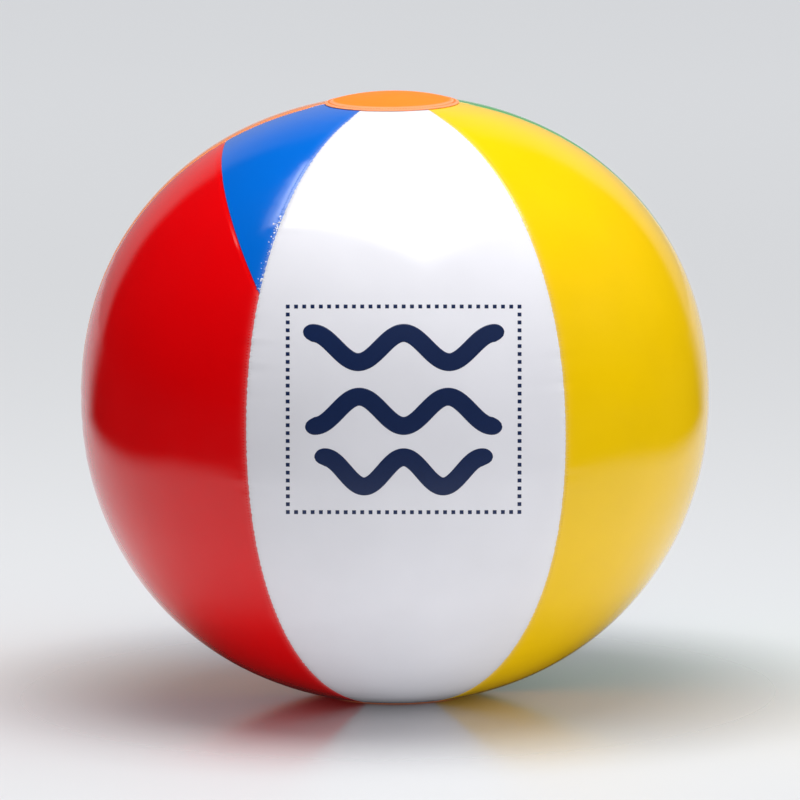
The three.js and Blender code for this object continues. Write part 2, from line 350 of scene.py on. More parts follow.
def mottled_material(name, rgb, mottle, tints, skin, skin_depth, surface):
    """A plain material that is a little uneven in colour and in relief. mottle and skin are each
    a pattern's spacing in millimetres and its detail, and surface is the shader's own inputs."""
    material, tree, place = new_material(name)
    clouds, grain = (
        add_node(
            tree, "ShaderNodeTexNoise",
            {"Vector": place, "Scale": wave_count(spacing), "Detail": detail},
        )
        for spacing, detail in (mottle, skin)
    )
    darker, lighter = tints
    body = add_node(
        tree, "ShaderNodeMix",
        {"Factor": clouds, "A": tinted(rgb, darker), "B": tinted(rgb, lighter)}, data_type="RGBA",
    )
    relief = add_node(
        tree, "ShaderNodeBump", {"Height": grain, "Distance": skin_depth, "Strength": 1.0}
    )
    shader = add_node(
        tree, "ShaderNodeBsdfPrincipled", {"Base Color": body, "Normal": relief, **surface}
    )
    add_node(tree, "ShaderNodeOutputMaterial", {"Surface": shader})
    return material


def finish_of(colour_name):
    """The material of a film colour, made once."""
    name = f"calendered_pvc_film_{colour_name}"
    if name not in bpy.data.materials:
        rgb = tuple(getattr(bpy.context.scene.ball_colours, colour_name))
        film_material(name, rgb, glossiest=0.09, ior=1.5)
    return bpy.data.materials[name]


def cap_finish():
    """The material of the caps, made once: a softer, matt film that has less sheen."""
    name = "matt_pvc_film_orange"
    if name not in bpy.data.materials:
        rgb = tuple(bpy.context.scene.ball_colours.cap)
        film_material(name, rgb, glossiest=0.42, ior=1.28)
    return bpy.data.materials[name]


def clear_finish():
    """The material of the valve's parts, made once. Clear flexible PVC, injection moulded: slightly
    cloudy, with a soft satin skin."""
    name = "moulded_clear_soft_pvc"
    if name not in bpy.data.materials:
        mottled_material(
            name, bpy.context.scene.ball_colours.clear, mottle=(3, 2.0), tints=(0.92, 1.06),
            skin=(0.6, 1.0), skin_depth=0.01 * MM,
            surface={"Roughness": 0.24, "IOR": 1.53, "Transmission Weight": 0.6},
        )
    return bpy.data.materials[name]


def ink_finish():
    """The material of the print, made once. Screen-printed vinyl ink: a dense satin layer, slightly
    mottled by the mesh of the screen."""
    name = "screen_printed_vinyl_ink"
    if name not in bpy.data.materials:
        mottled_material(
            name, bpy.context.scene.ball_colours.navy, mottle=(1.2, 3.0), tints=(0.88, 1.14),
            skin=(1.2, 3.0), skin_depth=0.006 * MM, surface={"Roughness": 0.38, "IOR": 1.48},
        )
    return bpy.data.materials[name]


# ------------------------------------------------------------------ the ball's meridian


def smoothstep(low, high, value):
    """0 below low, 1 above high, and a smooth rise between them."""
    t = np.clip((value - low) / (high - low), 0, 1)
    return t * t * (3 - 2 * t)


def blurred(values, spacing, sigma):
    """A row of numbers smoothed over a distance, with its ends held."""
    half = int(4 * sigma / spacing)
    kernel = np.exp(-0.5 * (np.arange(-half, half + 1) * spacing / sigma) ** 2)
    padded = np.pad(values, half, mode="reflect", reflect_type="odd")
    return np.convolve(padded, kernel / kernel.sum(), mode="valid")


def outline(bulge, flat, latitude):
    """Radius and height of a superellipse that a flat pole cuts off."""
    pole_reach = flat / (1 - (CAP_RADIUS / BALL_RADIUS) ** bulge) ** (1 / bulge)
    along = (np.abs(np.sin(latitude)) * BALL_RADIUS / pole_reach) ** bulge
    reach = BALL_RADIUS / (np.cos(latitude) ** bulge + along) ** (1 / bulge)
    reach = np.minimum(reach, flat / np.maximum(np.abs(np.sin(latitude)), 1e-9))
    return reach * np.cos(latitude), reach * np.sin(latitude)


class Meridian:
    """The ball's outline from the lower gore tips to the upper ones, by length along it."""

    def __init__(self):
        flat_above = FLAT_HEIGHT - CROWN_DROP - WAIST_RISE
        flat_below = FLAT_HEIGHT + WAIST_RISE
        latitude = np.linspace(
            -math.atan2(flat_below, GORE_TIP_RADIUS), math.atan2(flat_above, GORE_TIP_RADIUS), 6001
        )
        above = outline(BULGE_ABOVE, flat_above, latitude)
        below = outline(BULGE_BELOW, flat_below, latitude)
        radius, height = np.where(latitude > 0, above, below)
        length = np.concatenate([[0], np.cumsum(np.hypot(np.diff(radius), np.diff(height)))])
        self.total = length[-1]
        self.length = np.linspace(0, self.total, 6001)
        spacing = self.length[1]
        self.latitude = np.interp(self.length, length, latitude)
        self.radius = blurred(np.interp(self.length, length, radius), spacing, 1.5 * MM)
        self.height = blurred(np.interp(self.length, length, height), spacing, 1.5 * MM) + WAIST_RISE
        slope = np.hypot(np.gradient(self.radius), np.gradient(self.height))
        self.out = np.gradient(self.height) / slope
        self.up = -np.gradient(self.radius) / slope
        self.cad_radius, self.cad_height = outline(BULGE, FLAT_HEIGHT, self.latitude)

    def at(self, length):
        """Radius, height, and the outward normal's two parts, at lengths along the outline."""
        table = (self.radius, self.height, self.out, self.up)
        return [np.interp(length, self.length, values) for values in table]

    def cad_at(self, length):
        """Radius and height of the CAD model's outline at the same latitudes."""
        table = (self.cad_radius, self.cad_height)
        return [np.interp(length, self.length, values) for values in table]

    def length_at(self, latitude):
        """Length along the outline at a latitude."""
        return np.interp(latitude, self.latitude, self.length)


MERIDIAN = Meridian()


def ripple(x, y, z):
    """Broad, shallow ripples of the film, between -1 and 1, the same on both sides of a seam."""
    a = np.sin(x * 61 + 1.3) * np.sin(z * 47 + 0.4)
    b = np.sin(y * 53 + z * 38 + 2.1) * np.cos(x * 35 - 0.6)
    c = np.sin((x + y) * 88 - z * 71 + 0.9)
    return 0.45 * a + 0.4 * b + 0.15 * c


def pucker(length, seam):
    """Height pattern of the puckers along a seam, between about -1 and 1."""
    mid = (length - MERIDIAN.total / 2) / (60 * MM)
    swell = 0.3 + 0.7 * np.exp(-mid * mid)
    beat = 0.55 + 0.45 * np.sin(length * 83 + 2.4 * seam)
    waves = np.sin(length * 560 + 1.7 * seam) + 0.5 * np.sin(length * 1010 + 0.8 * seam)
    return swell * beat * waves / 1.5


def seam_wobble(sizes, length, seam):
    """Sideways wander of a seam line. The split gore's seam to the white one is the roughest."""
    wander = 0.5 * np.sin(length * 1490 + seam) * np.cos(length * 97 + seam)
    wander = wander + 0.5 * np.sin(length * 2310 + 3 * np.sin(length * 180) + 2.2 * seam)
    rough = sizes.rough_seam_wander if seam == ROUGH_SEAM else sizes.seam_wander
    return rough * wander


def film_depth(sizes, length, distance, seam):
    """How far the film lies inside the ball's outline beside one seam."""
    radius = MERIDIAN.at(length)[0]
    clear_of_cap = smoothstep(CAP_RADIUS, CAP_RADIUS + 14 * MM, radius)
    valley = sizes.valley_depth * np.exp(-distance / sizes.valley_width)
    puckers = sizes.pucker_height * np.exp(-distance / sizes.pucker_reach) * pucker(length, seam)
    teeth = np.sin(2 * math.pi * length / sizes.serration_pitch)
    serrations = sizes.serration * np.exp(-distance / (0.9 * MM)) * teeth
    return (valley + puckers + serrations) * (0.12 + 0.88 * clear_of_cap)


def ball_points(sizes, place, longitude, length, extra_depth=0.0):
    """Points of the film of the gore at a place, on grids of longitude and length."""
    radius, height, out, up = MERIDIAN.at(length)
    to_left = radius * (longitude + GORE_ANGLE / 2)
    to_right = radius * (GORE_ANGLE / 2 - longitude)
    depth = film_depth(sizes, length, to_left, (place - 1) % 6)
    depth = depth + film_depth(sizes, length, to_right, place % 6)
    wobble = seam_wobble(sizes, length, (place - 1) % 6) * np.exp(-to_left / (2 * MM))
    wobble = wobble + seam_wobble(sizes, length, place % 6) * np.exp(-to_right / (2 * MM))
    turn = longitude + place * GORE_ANGLE + wobble / radius
    outline_point = np.stack([radius * np.sin(turn), -radius * np.cos(turn), height], -1)
    cad_radius, cad_height = MERIDIAN.cad_at(length)
    cad_point = np.stack([cad_radius * np.sin(turn), -cad_radius * np.cos(turn), cad_height], -1)
    # Round the valve the film keeps to the CAD model, so that the flange sits on it.
    valve = np.array(valve_matrix().translation) - (0, 0, CENTRE_HEIGHT)
    from_valve = np.linalg.norm(cad_point - valve, axis=-1)
    near_valve = 1 - smoothstep(VALVE_PATCH, 4 * VALVE_PATCH, from_valve)
    points = outline_point + near_valve[..., None] * (cad_point - outline_point)
    broad = ripple(*np.moveaxis(points, -1, 0)) * smoothstep(CAP_RADIUS, 2 * CAP_RADIUS, radius)
    depth = depth + extra_depth - sizes.ripple_height * broad * (1 - near_valve)
    normal = np.stack([out * np.sin(turn), -out * np.cos(turn), up], -1)
    points = points + (0, 0, CENTRE_HEIGHT) - depth[..., None] * normal
    return points, normal, turn


# ------------------------------------------------------------------ meshes


def new_object(name, vertices, faces, material=None, edges=()):
    """A mesh object in the scene, smooth shaded."""
    mesh = bpy.data.meshes.new(name)
    mesh.from_pydata([tuple(v) for v in vertices], list(edges), [tuple(f) for f in faces])
    mesh.shade_smooth()
    if material:
        mesh.materials.append(material)
    made = bpy.data.objects.new(name, mesh)
    bpy.context.scene.collection.objects.link(made)
    return made


def grid_faces(rows, columns, wrapped=False):
    """Quads of a grid of points, facing out where columns run anticlockwise and rows run up."""
    last = columns if wrapped else columns - 1
    row, column = np.meshgrid(np.arange(rows - 1), np.arange(last), indexing="ij")
    right = (column + 1) % columns
    corners = [
        row * columns + column, row * columns + right,
        (row + 1) * columns + right, (row + 1) * columns + column,
    ]
    return np.stack(corners, -1).reshape(-1, 4).tolist()


def set_weld(made, values):
    """Stores how welded the film is at each vertex, from 0 to 1, for its material."""
    attribute = made.data.attributes.new("weld", "FLOAT", "POINT")
    attribute.data.foreach_set("value", np.asarray(values, np.float32).ravel())


def thicken(made, thickness, offset=-1.0):
    """Gives a sheet its wall."""
    wall = made.modifiers.new("wall", "SOLIDIFY")
    wall.thickness = thickness
    wall.offset = offset
    wall.use_rim = True


def frozen(made, name, material=None):
    """A plain mesh object of what an object's modifiers make. The source object is removed."""
    graph = bpy.context.evaluated_depsgraph_get()
    graph.update()
    mesh = bpy.data.meshes.new_from_object(made.evaluated_get(graph))
    mesh.name = name
    bpy.data.objects.remove(made)
    plain = bpy.data.objects.new(name, mesh)
    bpy.context.scene.collection.objects.link(plain)
    if material:
        mesh.materials.clear()
        mesh.materials.append(material)
    return plain


def rounded(shape, radius, steps=4):
    """A closed outline with its corners rounded."""
    made = []
    for index, here in enumerate(shape):
        before, after = Vector(shape[index - 1]), Vector(shape[(index + 1) % len(shape)])
        corner = Vector(here)
        reach = min(radius, 0.45 * (before - corner).length, 0.45 * (after - corner).length)
        start = corner + (before - corner).normalized() * reach
        end = corner + (after - corner).normalized() * reach
        for step in range(steps + 1):
            t = step / steps
            made.append((1 - t) ** 2 * start + 2 * t * (1 - t) * corner + t * t * end)
    return made


def turned(name, section, sides, material, closed=True):
    """A solid of revolution about Z. The section of (radius, height) runs anticlockwise."""
    angles = np.arange(sides) * 2 * math.pi / sides
    ring = np.array([tuple(p) for p in section])
    if closed:
        ring = np.vstack([ring, ring[:1]])
    x = ring[:, 0, None] * np.sin(angles)
    y = -ring[:, 0, None] * np.cos(angles)
    z = np.repeat(ring[:, 1, None], sides, 1)
    points = np.stack([x, y, z], -1).reshape(-1, 3)
    made = new_object(name, points, grid_faces(len(ring), sides, wrapped=True), material)
    tidy = bmesh.new()
    tidy.from_mesh(made.data)
    bmesh.ops.remove_doubles(tidy, verts=tidy.verts, dist=1e-7)
    bmesh.ops.dissolve_degenerate(tidy, edges=tidy.edges, dist=1e-8)
    tidy.to_mesh(made.data)
    tidy.free()
    made.data.shade_smooth()
    return made


def ride(made, body, slot, *nodes):
    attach(made, body)
    if nodes:
        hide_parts(*nodes)
    return made


# ------------------------------------------------------------------ gores


def column_shares(columns):
    """Distances from a seam to the middle of a gore, close together near the seam."""
    t = np.linspace(0, 1, columns + 1)
    return 0.035 * t + 0.965 * t ** 3


def column_longitudes(columns):
    """Longitudes across a gore, with the edge twice at each side for the hem."""
    left = -GORE_ANGLE / 2 * (1 - column_shares(columns))
    across = np.concatenate([left, -left[-2::-1]])
    return np.concatenate([across[:1], across, across[-1:]])


def film_panel(name, place, colour_name, length, extra_depth):
    """A film panel on a grid of lengths, with its hems turned inwards."""
    sizes = bpy.context.scene.ball_film
    across = column_longitudes(sizes.columns)
    longitude = np.broadcast_to(across, length.shape)
    points, normal, turn = ball_points(sizes, place, longitude, length, extra_depth)
    inwards = np.stack([np.cos(turn), np.sin(turn), 0 * turn], -1)
    side = np.zeros(len(across))
    side[:2], side[-2:] = 1, -1
    clearance = sizes.seam_gap / 2 + np.asarray(extra_depth) * np.ones(length.shape)
    points = points + inwards * (side * clearance)[..., None]
    hem = np.zeros(len(across))
    hem[0] = hem[-1] = sizes.hem
    points = points - normal * hem[:, None]
    made = new_object(name, points.reshape(-1, 3), grid_faces(*length.shape), finish_of(colour_name))
    radius = MERIDIAN.at(length)[0]
    from_seam = radius * (GORE_ANGLE / 2 - np.abs(longitude))
    set_weld(made, 0.5 * np.exp(-from_seam / (0.9 * MM)))
    thicken(made, sizes.thickness)
    return made


def even_lengths(low, high, rows):
    """Rows of lengths between two edges, which may change from column to column."""
    return low + np.linspace(0, 1, rows)[:, None] * (high - low)


def lap_lengths(sizes, longitude):
    """Length along the meridian of the slanting weld, on a great circle between its ends."""
    from_orange = math.tan(sizes.lap_by_orange) * np.sin(GORE_ANGLE / 2 - longitude)
    from_white = math.tan(sizes.lap_by_white) * np.sin(GORE_ANGLE / 2 + longitude)
    return MERIDIAN.length_at(np.arctan((from_orange + from_white) / math.sin(GORE_ANGLE)))


def make_whole_gores():
    """The five gores that are one panel each. The valve's hole is cut afterwards."""
    sizes = bpy.context.scene.ball_film
    columns = len(column_longitudes(sizes.columns))
    rows = int(MERIDIAN.total / sizes.row_pitch)
    length = even_lengths(np.zeros(columns), np.full(columns, MERIDIAN.total), rows)
    for node, (place, colour_name) in WHOLE_GORES.items():
        made = film_panel(f"{node}_film", place, colour_name, length, 0.0)
        if node == "blue_gore":
            cut_valve_hole(made)
        ride(made, "ball", f"{colour_name}_pvc", node)


def make_split_gore():
    """The split gore: the red panel's edge steps in and runs under the blue panel's."""
    sizes = bpy.context.scene.ball_film
    lap = lap_lengths(sizes, column_longitudes(sizes.columns))
    rows = int(lap.max() / sizes.row_pitch)
    length = even_lengths(np.zeros(len(lap)), lap + sizes.lap, rows)
    under = sizes.thickness + sizes.lap_gap
    step_in = under * smoothstep(-4 * MM, -0.1 * MM, length - lap)
    red = film_panel("red_gore_film", SPLIT_GORE_PLACE, "red", length, step_in)
    ride(red, "ball", "red_pvc", "red_gore_lower")

    rows = int((MERIDIAN.total - lap.min()) / sizes.row_pitch)
    length = even_lengths(lap, np.full(len(lap), MERIDIAN.total), rows)
    blue = film_panel("blue_gore_upper_film", SPLIT_GORE_PLACE, "blue", length, 0.0)
    ride(blue, "ball", "blue_pvc", "blue_gore_upper")


# ------------------------------------------------------------------ weld marks


def group_input(tree, name, kind, default=None):
    """Adds a named input to a geometry node tree."""
    socket = tree.interface.new_socket(name=name, in_out="INPUT", socket_type=kind)
    if default is not None:
        socket.default_value = default
    return socket


def new_geometry_tree(name, inputs):
    """A geometry node tree and its named inputs."""
    tree = bpy.data.node_groups.new(name, "GeometryNodeTree")
    group_input(tree, "Geometry", "NodeSocketGeometry")
    for label, kind in inputs.items():
        group_input(tree, label, kind)
    tree.interface.new_socket(name="Geometry", in_out="OUTPUT", socket_type="NodeSocketGeometry")
    return tree, add_node(tree, "NodeGroupInput").outputs


def apply_tree(made, tree, **values):
    """Runs a geometry node tree on an object. Values are given by input name."""
    modifier = made.modifiers.new(tree.name, "NODES")
    modifier.node_group = tree
    identifiers = {
        item.name: item.identifier for item in tree.interface.items_tree if item.in_out == "INPUT"
    }
    for label, value in values.items():
        modifier[identifiers[label.replace("_", " ")]] = value
    return modifier


def finish_tree(tree, geometry, finish):
    """Ends a tree in Realize Instances and Set Material."""
    real = add_node(tree, "GeometryNodeRealizeInstances", {"Geometry": geometry})
    painted = add_node(tree, "GeometryNodeSetMaterial", {"Geometry": real, "Material": finish})
    add_node(tree, "NodeGroupOutput", {"Geometry": painted})


def knurl_tree():
    """Low oval marks at even steps along paths, standing on the film and lying across the path."""
    if "weld_knurl" in bpy.data.node_groups:
        return bpy.data.node_groups["weld_knurl"]
    tree, given = new_geometry_tree(
        "weld_knurl",
        {
            "Pitch": "NodeSocketFloat", "Length": "NodeSocketFloat", "Width": "NodeSocketFloat",
            "Height": "NodeSocketFloat", "Finish": "NodeSocketMaterial",
        },
    )
    paths = add_node(tree, "GeometryNodeMeshToCurve", {"Mesh": given["Geometry"]})
    steps = add_node(
        tree, "GeometryNodeResampleCurve",
        {"Curve": paths, "Length": given["Pitch"]}, mode="LENGTH",
    )
    facing = add_node(
        tree, "GeometryNodeInputNamedAttribute", {"Name": "facing"}, data_type="FLOAT_VECTOR"
    )
    tangent = add_node(tree, "GeometryNodeInputTangent")
    upright = add_node(tree, "FunctionNodeAlignRotationToVector", {"Vector": facing}, axis="Z")
    turned_along = add_node(
        tree, "FunctionNodeAlignRotationToVector",
        {"Rotation": upright, "Vector": tangent},
        axis="Y", pivot_axis="Z",
    )
    mark = add_node(tree, "GeometryNodeMeshUVSphere", {"Segments": 8, "Rings": 4, "Radius": 0.5})
    smooth = add_node(tree, "GeometryNodeSetShadeSmooth", {"Geometry": mark})
    stretch = add_node(
        tree, "ShaderNodeCombineXYZ",
        {"X": given["Length"], "Y": given["Width"], "Z": given["Height"]},
    )
    marks = add_node(
        tree, "GeometryNodeInstanceOnPoints",
        {"Points": steps, "Instance": smooth, "Rotation": turned_along, "Scale": stretch},
    )
    finish_tree(tree, marks, given["Finish"])
    return tree


def path_object(paths):
    """A mesh of open or closed paths. Each path is (points, normals, closed)."""
    points, normals, edges = [], [], []
    for line, facing, closed in paths:
        start = len(points)
        points.extend(line)
        normals.extend(facing)
        edges.extend((start + i, start + i + 1) for i in range(len(line) - 1))
        if closed:
            edges.append((start + len(line) - 1, start))
    made = new_object("paths", points, [], edges=edges)
    attribute = made.data.attributes.new("facing", "FLOAT_VECTOR", "POINT")
    attribute.data.foreach_set("vector", np.asarray(normals, np.float32).ravel())
    return made


def knurl(name, paths, material, pitch, length, width, height):
    """Weld marks along paths, as one plain mesh."""
    made = path_object(paths)
    apply_tree(
        made, knurl_tree(),
        Pitch=pitch, Length=length, Width=width, Height=2 * height, Finish=material,
    )
    return frozen(made, name)


def seam_side_paths(place, low, high):
    """The two lines just inside a panel's edges. low and high give each line's ends, left first."""
    sizes, welds = bpy.context.scene.ball_film, bpy.context.scene.ball_welds
    paths = []
    for side, start, end in zip((-1, 1), low, high):
        length = np.linspace(start, end, int((end - start) / MM))
        radius = MERIDIAN.at(length)[0]
        longitude = side * (GORE_ANGLE / 2 - welds.knurl_inset / radius)
        points, normals, _ = ball_points(sizes, place, longitude, length)
        paths.append((points, normals, False))
    return paths


def make_weld_knurl():
    """The welding tool's marks beside every seam, one piece for each panel."""
    sizes, welds = bpy.context.scene.ball_film, bpy.context.scene.ball_welds
    radius = MERIDIAN.radius
    margin = np.interp(CAP_RADIUS + MM, radius[:3000], MERIDIAN.length[:3000])
    bottom, top = margin, MERIDIAN.total - margin
    lap = lap_lengths(sizes, np.array([-GORE_ANGLE / 2, GORE_ANGLE / 2]))
    panels = {
        node: (place, colour_name, (bottom, bottom), (top, top))
        for node, (place, colour_name) in WHOLE_GORES.items()
    }
    panels["red_gore"] = (SPLIT_GORE_PLACE, "red", (bottom, bottom), lap - 2 * MM)
    panels["blue_gore_upper"] = (SPLIT_GORE_PLACE, "blue", lap + 2 * MM, (top, top))
    for node, (place, colour_name, low, high) in panels.items():
        made = knurl(
            f"{node}_weld_knurl", seam_side_paths(place, low, high), finish_of(colour_name),
            welds.knurl_pitch, welds.knurl_length, welds.knurl_width, welds.knurl_height,
        )
        ride(made, "ball", f"{colour_name}_pvc")


def painted_glint_tree():
    """Flattened drops on points. Each point says where its drop faces and how it is stretched."""
    tree, given = new_geometry_tree("weld_flash", {"Finish": "NodeSocketMaterial"})
    facing, stretch = (
        add_node(tree, "GeometryNodeInputNamedAttribute", {"Name": name}, data_type="FLOAT_VECTOR")
        for name in ("facing", "stretch")
    )
    upright = add_node(tree, "FunctionNodeAlignRotationToVector", {"Vector": facing}, axis="Z")
    drop = add_node(tree, "GeometryNodeMeshIcoSphere", {"Radius": 1.0, "Subdivisions": 2})
    smooth = add_node(tree, "GeometryNodeSetShadeSmooth", {"Geometry": drop})
    drops = add_node(
        tree, "GeometryNodeInstanceOnPoints",
        {"Points": given["Geometry"], "Instance": smooth, "Rotation": upright, "Scale": stretch},
    )
    finish_tree(tree, drops, given["Finish"])
    return tree


def make_painted_glints():
    """Painted glints: specks of white film on the blue panel beside its seam, which stand in for
    glints of light on the puckers there.
    """
    sizes, welds = bpy.context.scene.ball_film, bpy.context.scene.ball_welds
    chance = np.random.default_rng(welds.glint_seed)
    low = lap_lengths(sizes, np.array([GORE_ANGLE / 2]))[0] + MM
    high = MERIDIAN.length_at(welds.glint_top)
    amount = welds.glint_count
    # Most specks lie anywhere along the weld, and the rest in one clump.
    length = low + (high - low) * chance.random(amount)
    clump = low + 0.82 * (high - low) + 1.6 * MM * chance.standard_normal(amount)
    length = np.where(chance.random(amount) < 0.3, clump, length)
    inset = np.minimum(0.3 * MM + chance.exponential(0.6 * MM, amount), 3 * MM)
    longitude = GORE_ANGLE / 2 - inset / MERIDIAN.at(length)[0]
    points, normals, _ = ball_points(sizes, SPLIT_GORE_PLACE, longitude, length)
    across = welds.glint_size / 2 * (0.3 + 0.7 * chance.random(amount) ** 2)
    along_x, along_y = 0.7 + 0.6 * chance.random(amount), 0.7 + 0.9 * chance.random(amount)
    stretch = across[:, None] * np.stack([along_x, along_y, np.full(amount, 0.4)], -1)
    made = path_object([([point], [normal], False) for point, normal in zip(points, normals)])
    attribute = made.data.attributes.new("stretch", "FLOAT_VECTOR", "POINT")
    attribute.data.foreach_set("vector", stretch.astype(np.float32).ravel())
    # Painted highlight: the specks are made in the white film's finish so that they show as glints.
    apply_tree(made, painted_glint_tree(), Finish=finish_of("white"))
    ride(frozen(made, "weld_flash_specks"), "ball", "white_pvc")


# ------------------------------------------------------------------ pole caps


def crown(dome, radius):
    """How far a cap's crown stands over its rim at a radius."""
    return dome * (1 - min(1, radius / CAP_RADIUS) ** CROWN_SHAPE)


def cap_outline(dome):
    """Section of a cap on z = 0: a crowned disc with a pressed weld ring and a rounded rim."""
    welds = bpy.context.scene.ball_welds
    top, pressed = CAP_THICKNESS, CAP_THICKNESS - welds.cap_weld_depth
    inner, outer = welds.cap_weld_inner, welds.cap_weld_outer
    rim = rounded(
        [
            (inner, 0), (CAP_RADIUS, -0.1 * MM), (CAP_RADIUS, top - 0.1 * MM), (outer, top),
            (outer - 0.3 * MM, pressed), (inner + 0.3 * MM, pressed), (inner, top),
        ],
        0.2 * MM,
    )[1:-1]
    inwards = np.linspace(0.97, 0, 40) * inner
    section = [(r, 0) for r in inwards[::-1]] + [tuple(p) for p in rim] + [(r, top) for r in inwards]
    return [(r, z + crown(dome, r)) for r, z in section]


def make_caps():
    """The two pole caps and the knurl in their weld rings."""
    welds = bpy.context.scene.ball_welds
    top_place = Matrix.Translation((0, 0, CAP_LOW.z - CROWN_DROP))
    bottom_place = Matrix.Translation((0, 0, CAP_THICKNESS)) @ Matrix.Rotation(math.pi, 4, "X")
    placed = {"top_cap": (top_place, welds.cap_dome), "bottom_cap": (bottom_place, 0.0)}
    ring_radius = (welds.cap_weld_inner + welds.cap_weld_outer) / 2
    angles = np.arange(360) * 2 * math.pi / 360
    pressed = CAP_THICKNESS - welds.cap_weld_depth
    for node, (place, dome) in placed.items():
        lift = pressed + crown(dome, ring_radius)
        circle = np.stack(
            [ring_radius * np.sin(angles), -ring_radius * np.cos(angles), 0 * angles + lift], -1
        )
        made = turned(f"{node}_disc", cap_outline(dome), 192, cap_finish(), closed=False)
        radius = np.array([v.co.to_2d().length for v in made.data.vertices])
        pale = smoothstep(welds.cap_weld_inner - 1 * MM, welds.cap_weld_inner + 0.3 * MM, radius)
        set_weld(made, 0.45 * pale)
        made.data.transform(place)
        ride(made, "ball", "orange_pvc", node)
        marks = knurl(
            f"{node}_weld_knurl", [(circle, [(0, 0, 1)] * len(circle), True)], cap_finish(),
            welds.knurl_pitch, length=2 * MM, width=welds.knurl_width, height=0.07 * MM,
        )
        marks.data.transform(place)
        ride(marks, "ball", "orange_pvc")


# ------------------------------------------------------------------ print


def print_frame_matrix():
    """Flat drawing frame of the print: x to the right, y up, z out of the ball, in front of it."""
    view, sizes = bpy.context.scene.ball_view, bpy.context.scene.ball_print
    out, right, up = view_axes(view)
    middle = Vector((0, 0, CENTRE_HEIGHT)) + right * sizes.right - up * sizes.down
    turn = Matrix((right, up, out)).transposed().to_4x4()
    return Matrix.Translation(middle + out * 1.5 * BALL_RADIUS) @ turn


def ink_tree():
    """Lays a flat drawing on the film, straight along a direction, a little above the surface."""
    if "ink_on_film" in bpy.data.node_groups:
        return bpy.data.node_groups["ink_on_film"]
    tree, given = new_geometry_tree(
        "ink_on_film",
        {
            "Film": "NodeSocketObject", "Direction": "NodeSocketVector",
            "Lift": "NodeSocketFloat", "Finish": "NodeSocketMaterial",
        },
    )
    film = add_node(
        tree, "GeometryNodeObjectInfo", {"Object": given["Film"]}, transform_space="RELATIVE"
    )
    real = add_node(tree, "GeometryNodeRealizeInstances", {"Geometry": given["Geometry"]})
    ray = add_node(
        tree, "GeometryNodeRaycast",
        {
            "Target Geometry": film.outputs["Geometry"],
            "Ray Direction": given["Direction"], "Ray Length": 1.0,
        },
    )
    lifted = add_node(
        tree, "ShaderNodeVectorMath",
        {0: ray.outputs["Hit Normal"], "Scale": given["Lift"]}, operation="SCALE",
    )
    resting = add_node(
        tree, "ShaderNodeVectorMath",
        {0: ray.outputs["Hit Position"], 1: lifted}, operation="ADD",
    )
    laid = add_node(
        tree, "GeometryNodeSetPosition",
        {"Geometry": real, "Selection": ray.outputs["Is Hit"], "Position": resting},
    )
    finish_tree(tree, laid, given["Finish"])
    return tree


def dotted_frame_tree():
    """Square dots on the border of a grid of points."""
    tree, given = new_geometry_tree(
        "dotted_frame",
        {
            "Width": "NodeSocketFloat", "Height": "NodeSocketFloat", "Across": "NodeSocketInt",
            "Up": "NodeSocketInt", "Dot": "NodeSocketFloat", "Finish": "NodeSocketMaterial",
        },
    )
    grid = add_node(
        tree, "GeometryNodeMeshGrid",
        {
            "Size X": given["Width"], "Size Y": given["Height"],
            "Vertices X": given["Across"], "Vertices Y": given["Up"],
        },
    )
    neighbours = add_node(tree, "GeometryNodeInputMeshVertexNeighbors")
    on_border = add_node(
        tree, "FunctionNodeCompare", {2: neighbours, 3: 4},
        data_type="INT", operation="LESS_THAN",
    )
    dot = add_node(
        tree, "GeometryNodeMeshGrid",
        {"Size X": given["Dot"], "Size Y": given["Dot"], "Vertices X": 6, "Vertices Y": 6},
    )
    dots = add_node(
        tree, "GeometryNodeInstanceOnPoints",
        {"Points": grid, "Selection": on_border, "Instance": dot},
    )
    finish_tree(tree, dots, given["Finish"])
    return tree


def lay_ink(flat, name):
    """Prints a flat drawing on the white gore and gives the ink its thickness."""
    sizes = bpy.context.scene.ball_print
    place = print_frame_matrix()
    flat.data.transform(place)
    apply_tree(
        flat, ink_tree(), Film=bpy.data.objects["white_gore_film"],
        Direction=tuple(-place.col[2].to_3d()), Lift=sizes.ink_lift, Finish=ink_finish(),
    )
    made = frozen(flat, name)
    made.data.shade_smooth()
    thicken(made, sizes.ink_thickness, offset=1.0)
    ride(made, "ball", "navy_ink")
    return made


def make_print_frame():
    """The dotted frame, with a dot at each step round a rectangle."""
    sizes = bpy.context.scene.ball_print
    flat = new_object("dots", [], [])
    apply_tree(
        flat, dotted_frame_tree(), Width=sizes.width, Height=sizes.height,
        Across=sizes.dots_across, Up=sizes.dots_up, Dot=sizes.dot, Finish=ink_finish(),
    )
    lay_ink(frozen(flat, "dots"), "print_dotted_frame")


def wave_band(width, shift, phase):
    """A flat wavy band with round ends, as a grid of points and its faces."""
    sizes = bpy.context.scene.ball_print
    half = sizes.band / 2
    run = width - sizes.band
    x = np.linspace(-run / 2 - half, run / 2 + half, 260)
    turns = 2 * (2 * math.pi) / run  # two waves in each band
    middle = sizes.swing * np.cos(turns * x + phase)
    slope = -sizes.swing * turns * np.sin(turns * x + phase)
    past_end = np.clip((np.abs(x) - run / 2) / half, 0, 1)
    breadth = half * np.sqrt(np.maximum(0, 1 - past_end ** 2))
    across = np.linspace(-1, 1, 17)[:, None]
    steep = np.sqrt(1 + slope ** 2)
    grid_x = x - across * breadth * slope / steep
    grid_y = middle + across * breadth / steep + shift
    points = np.stack([grid_x, grid_y, 0 * grid_x], -1)
    return points.reshape(-1, 3), grid_faces(*grid_x.shape)


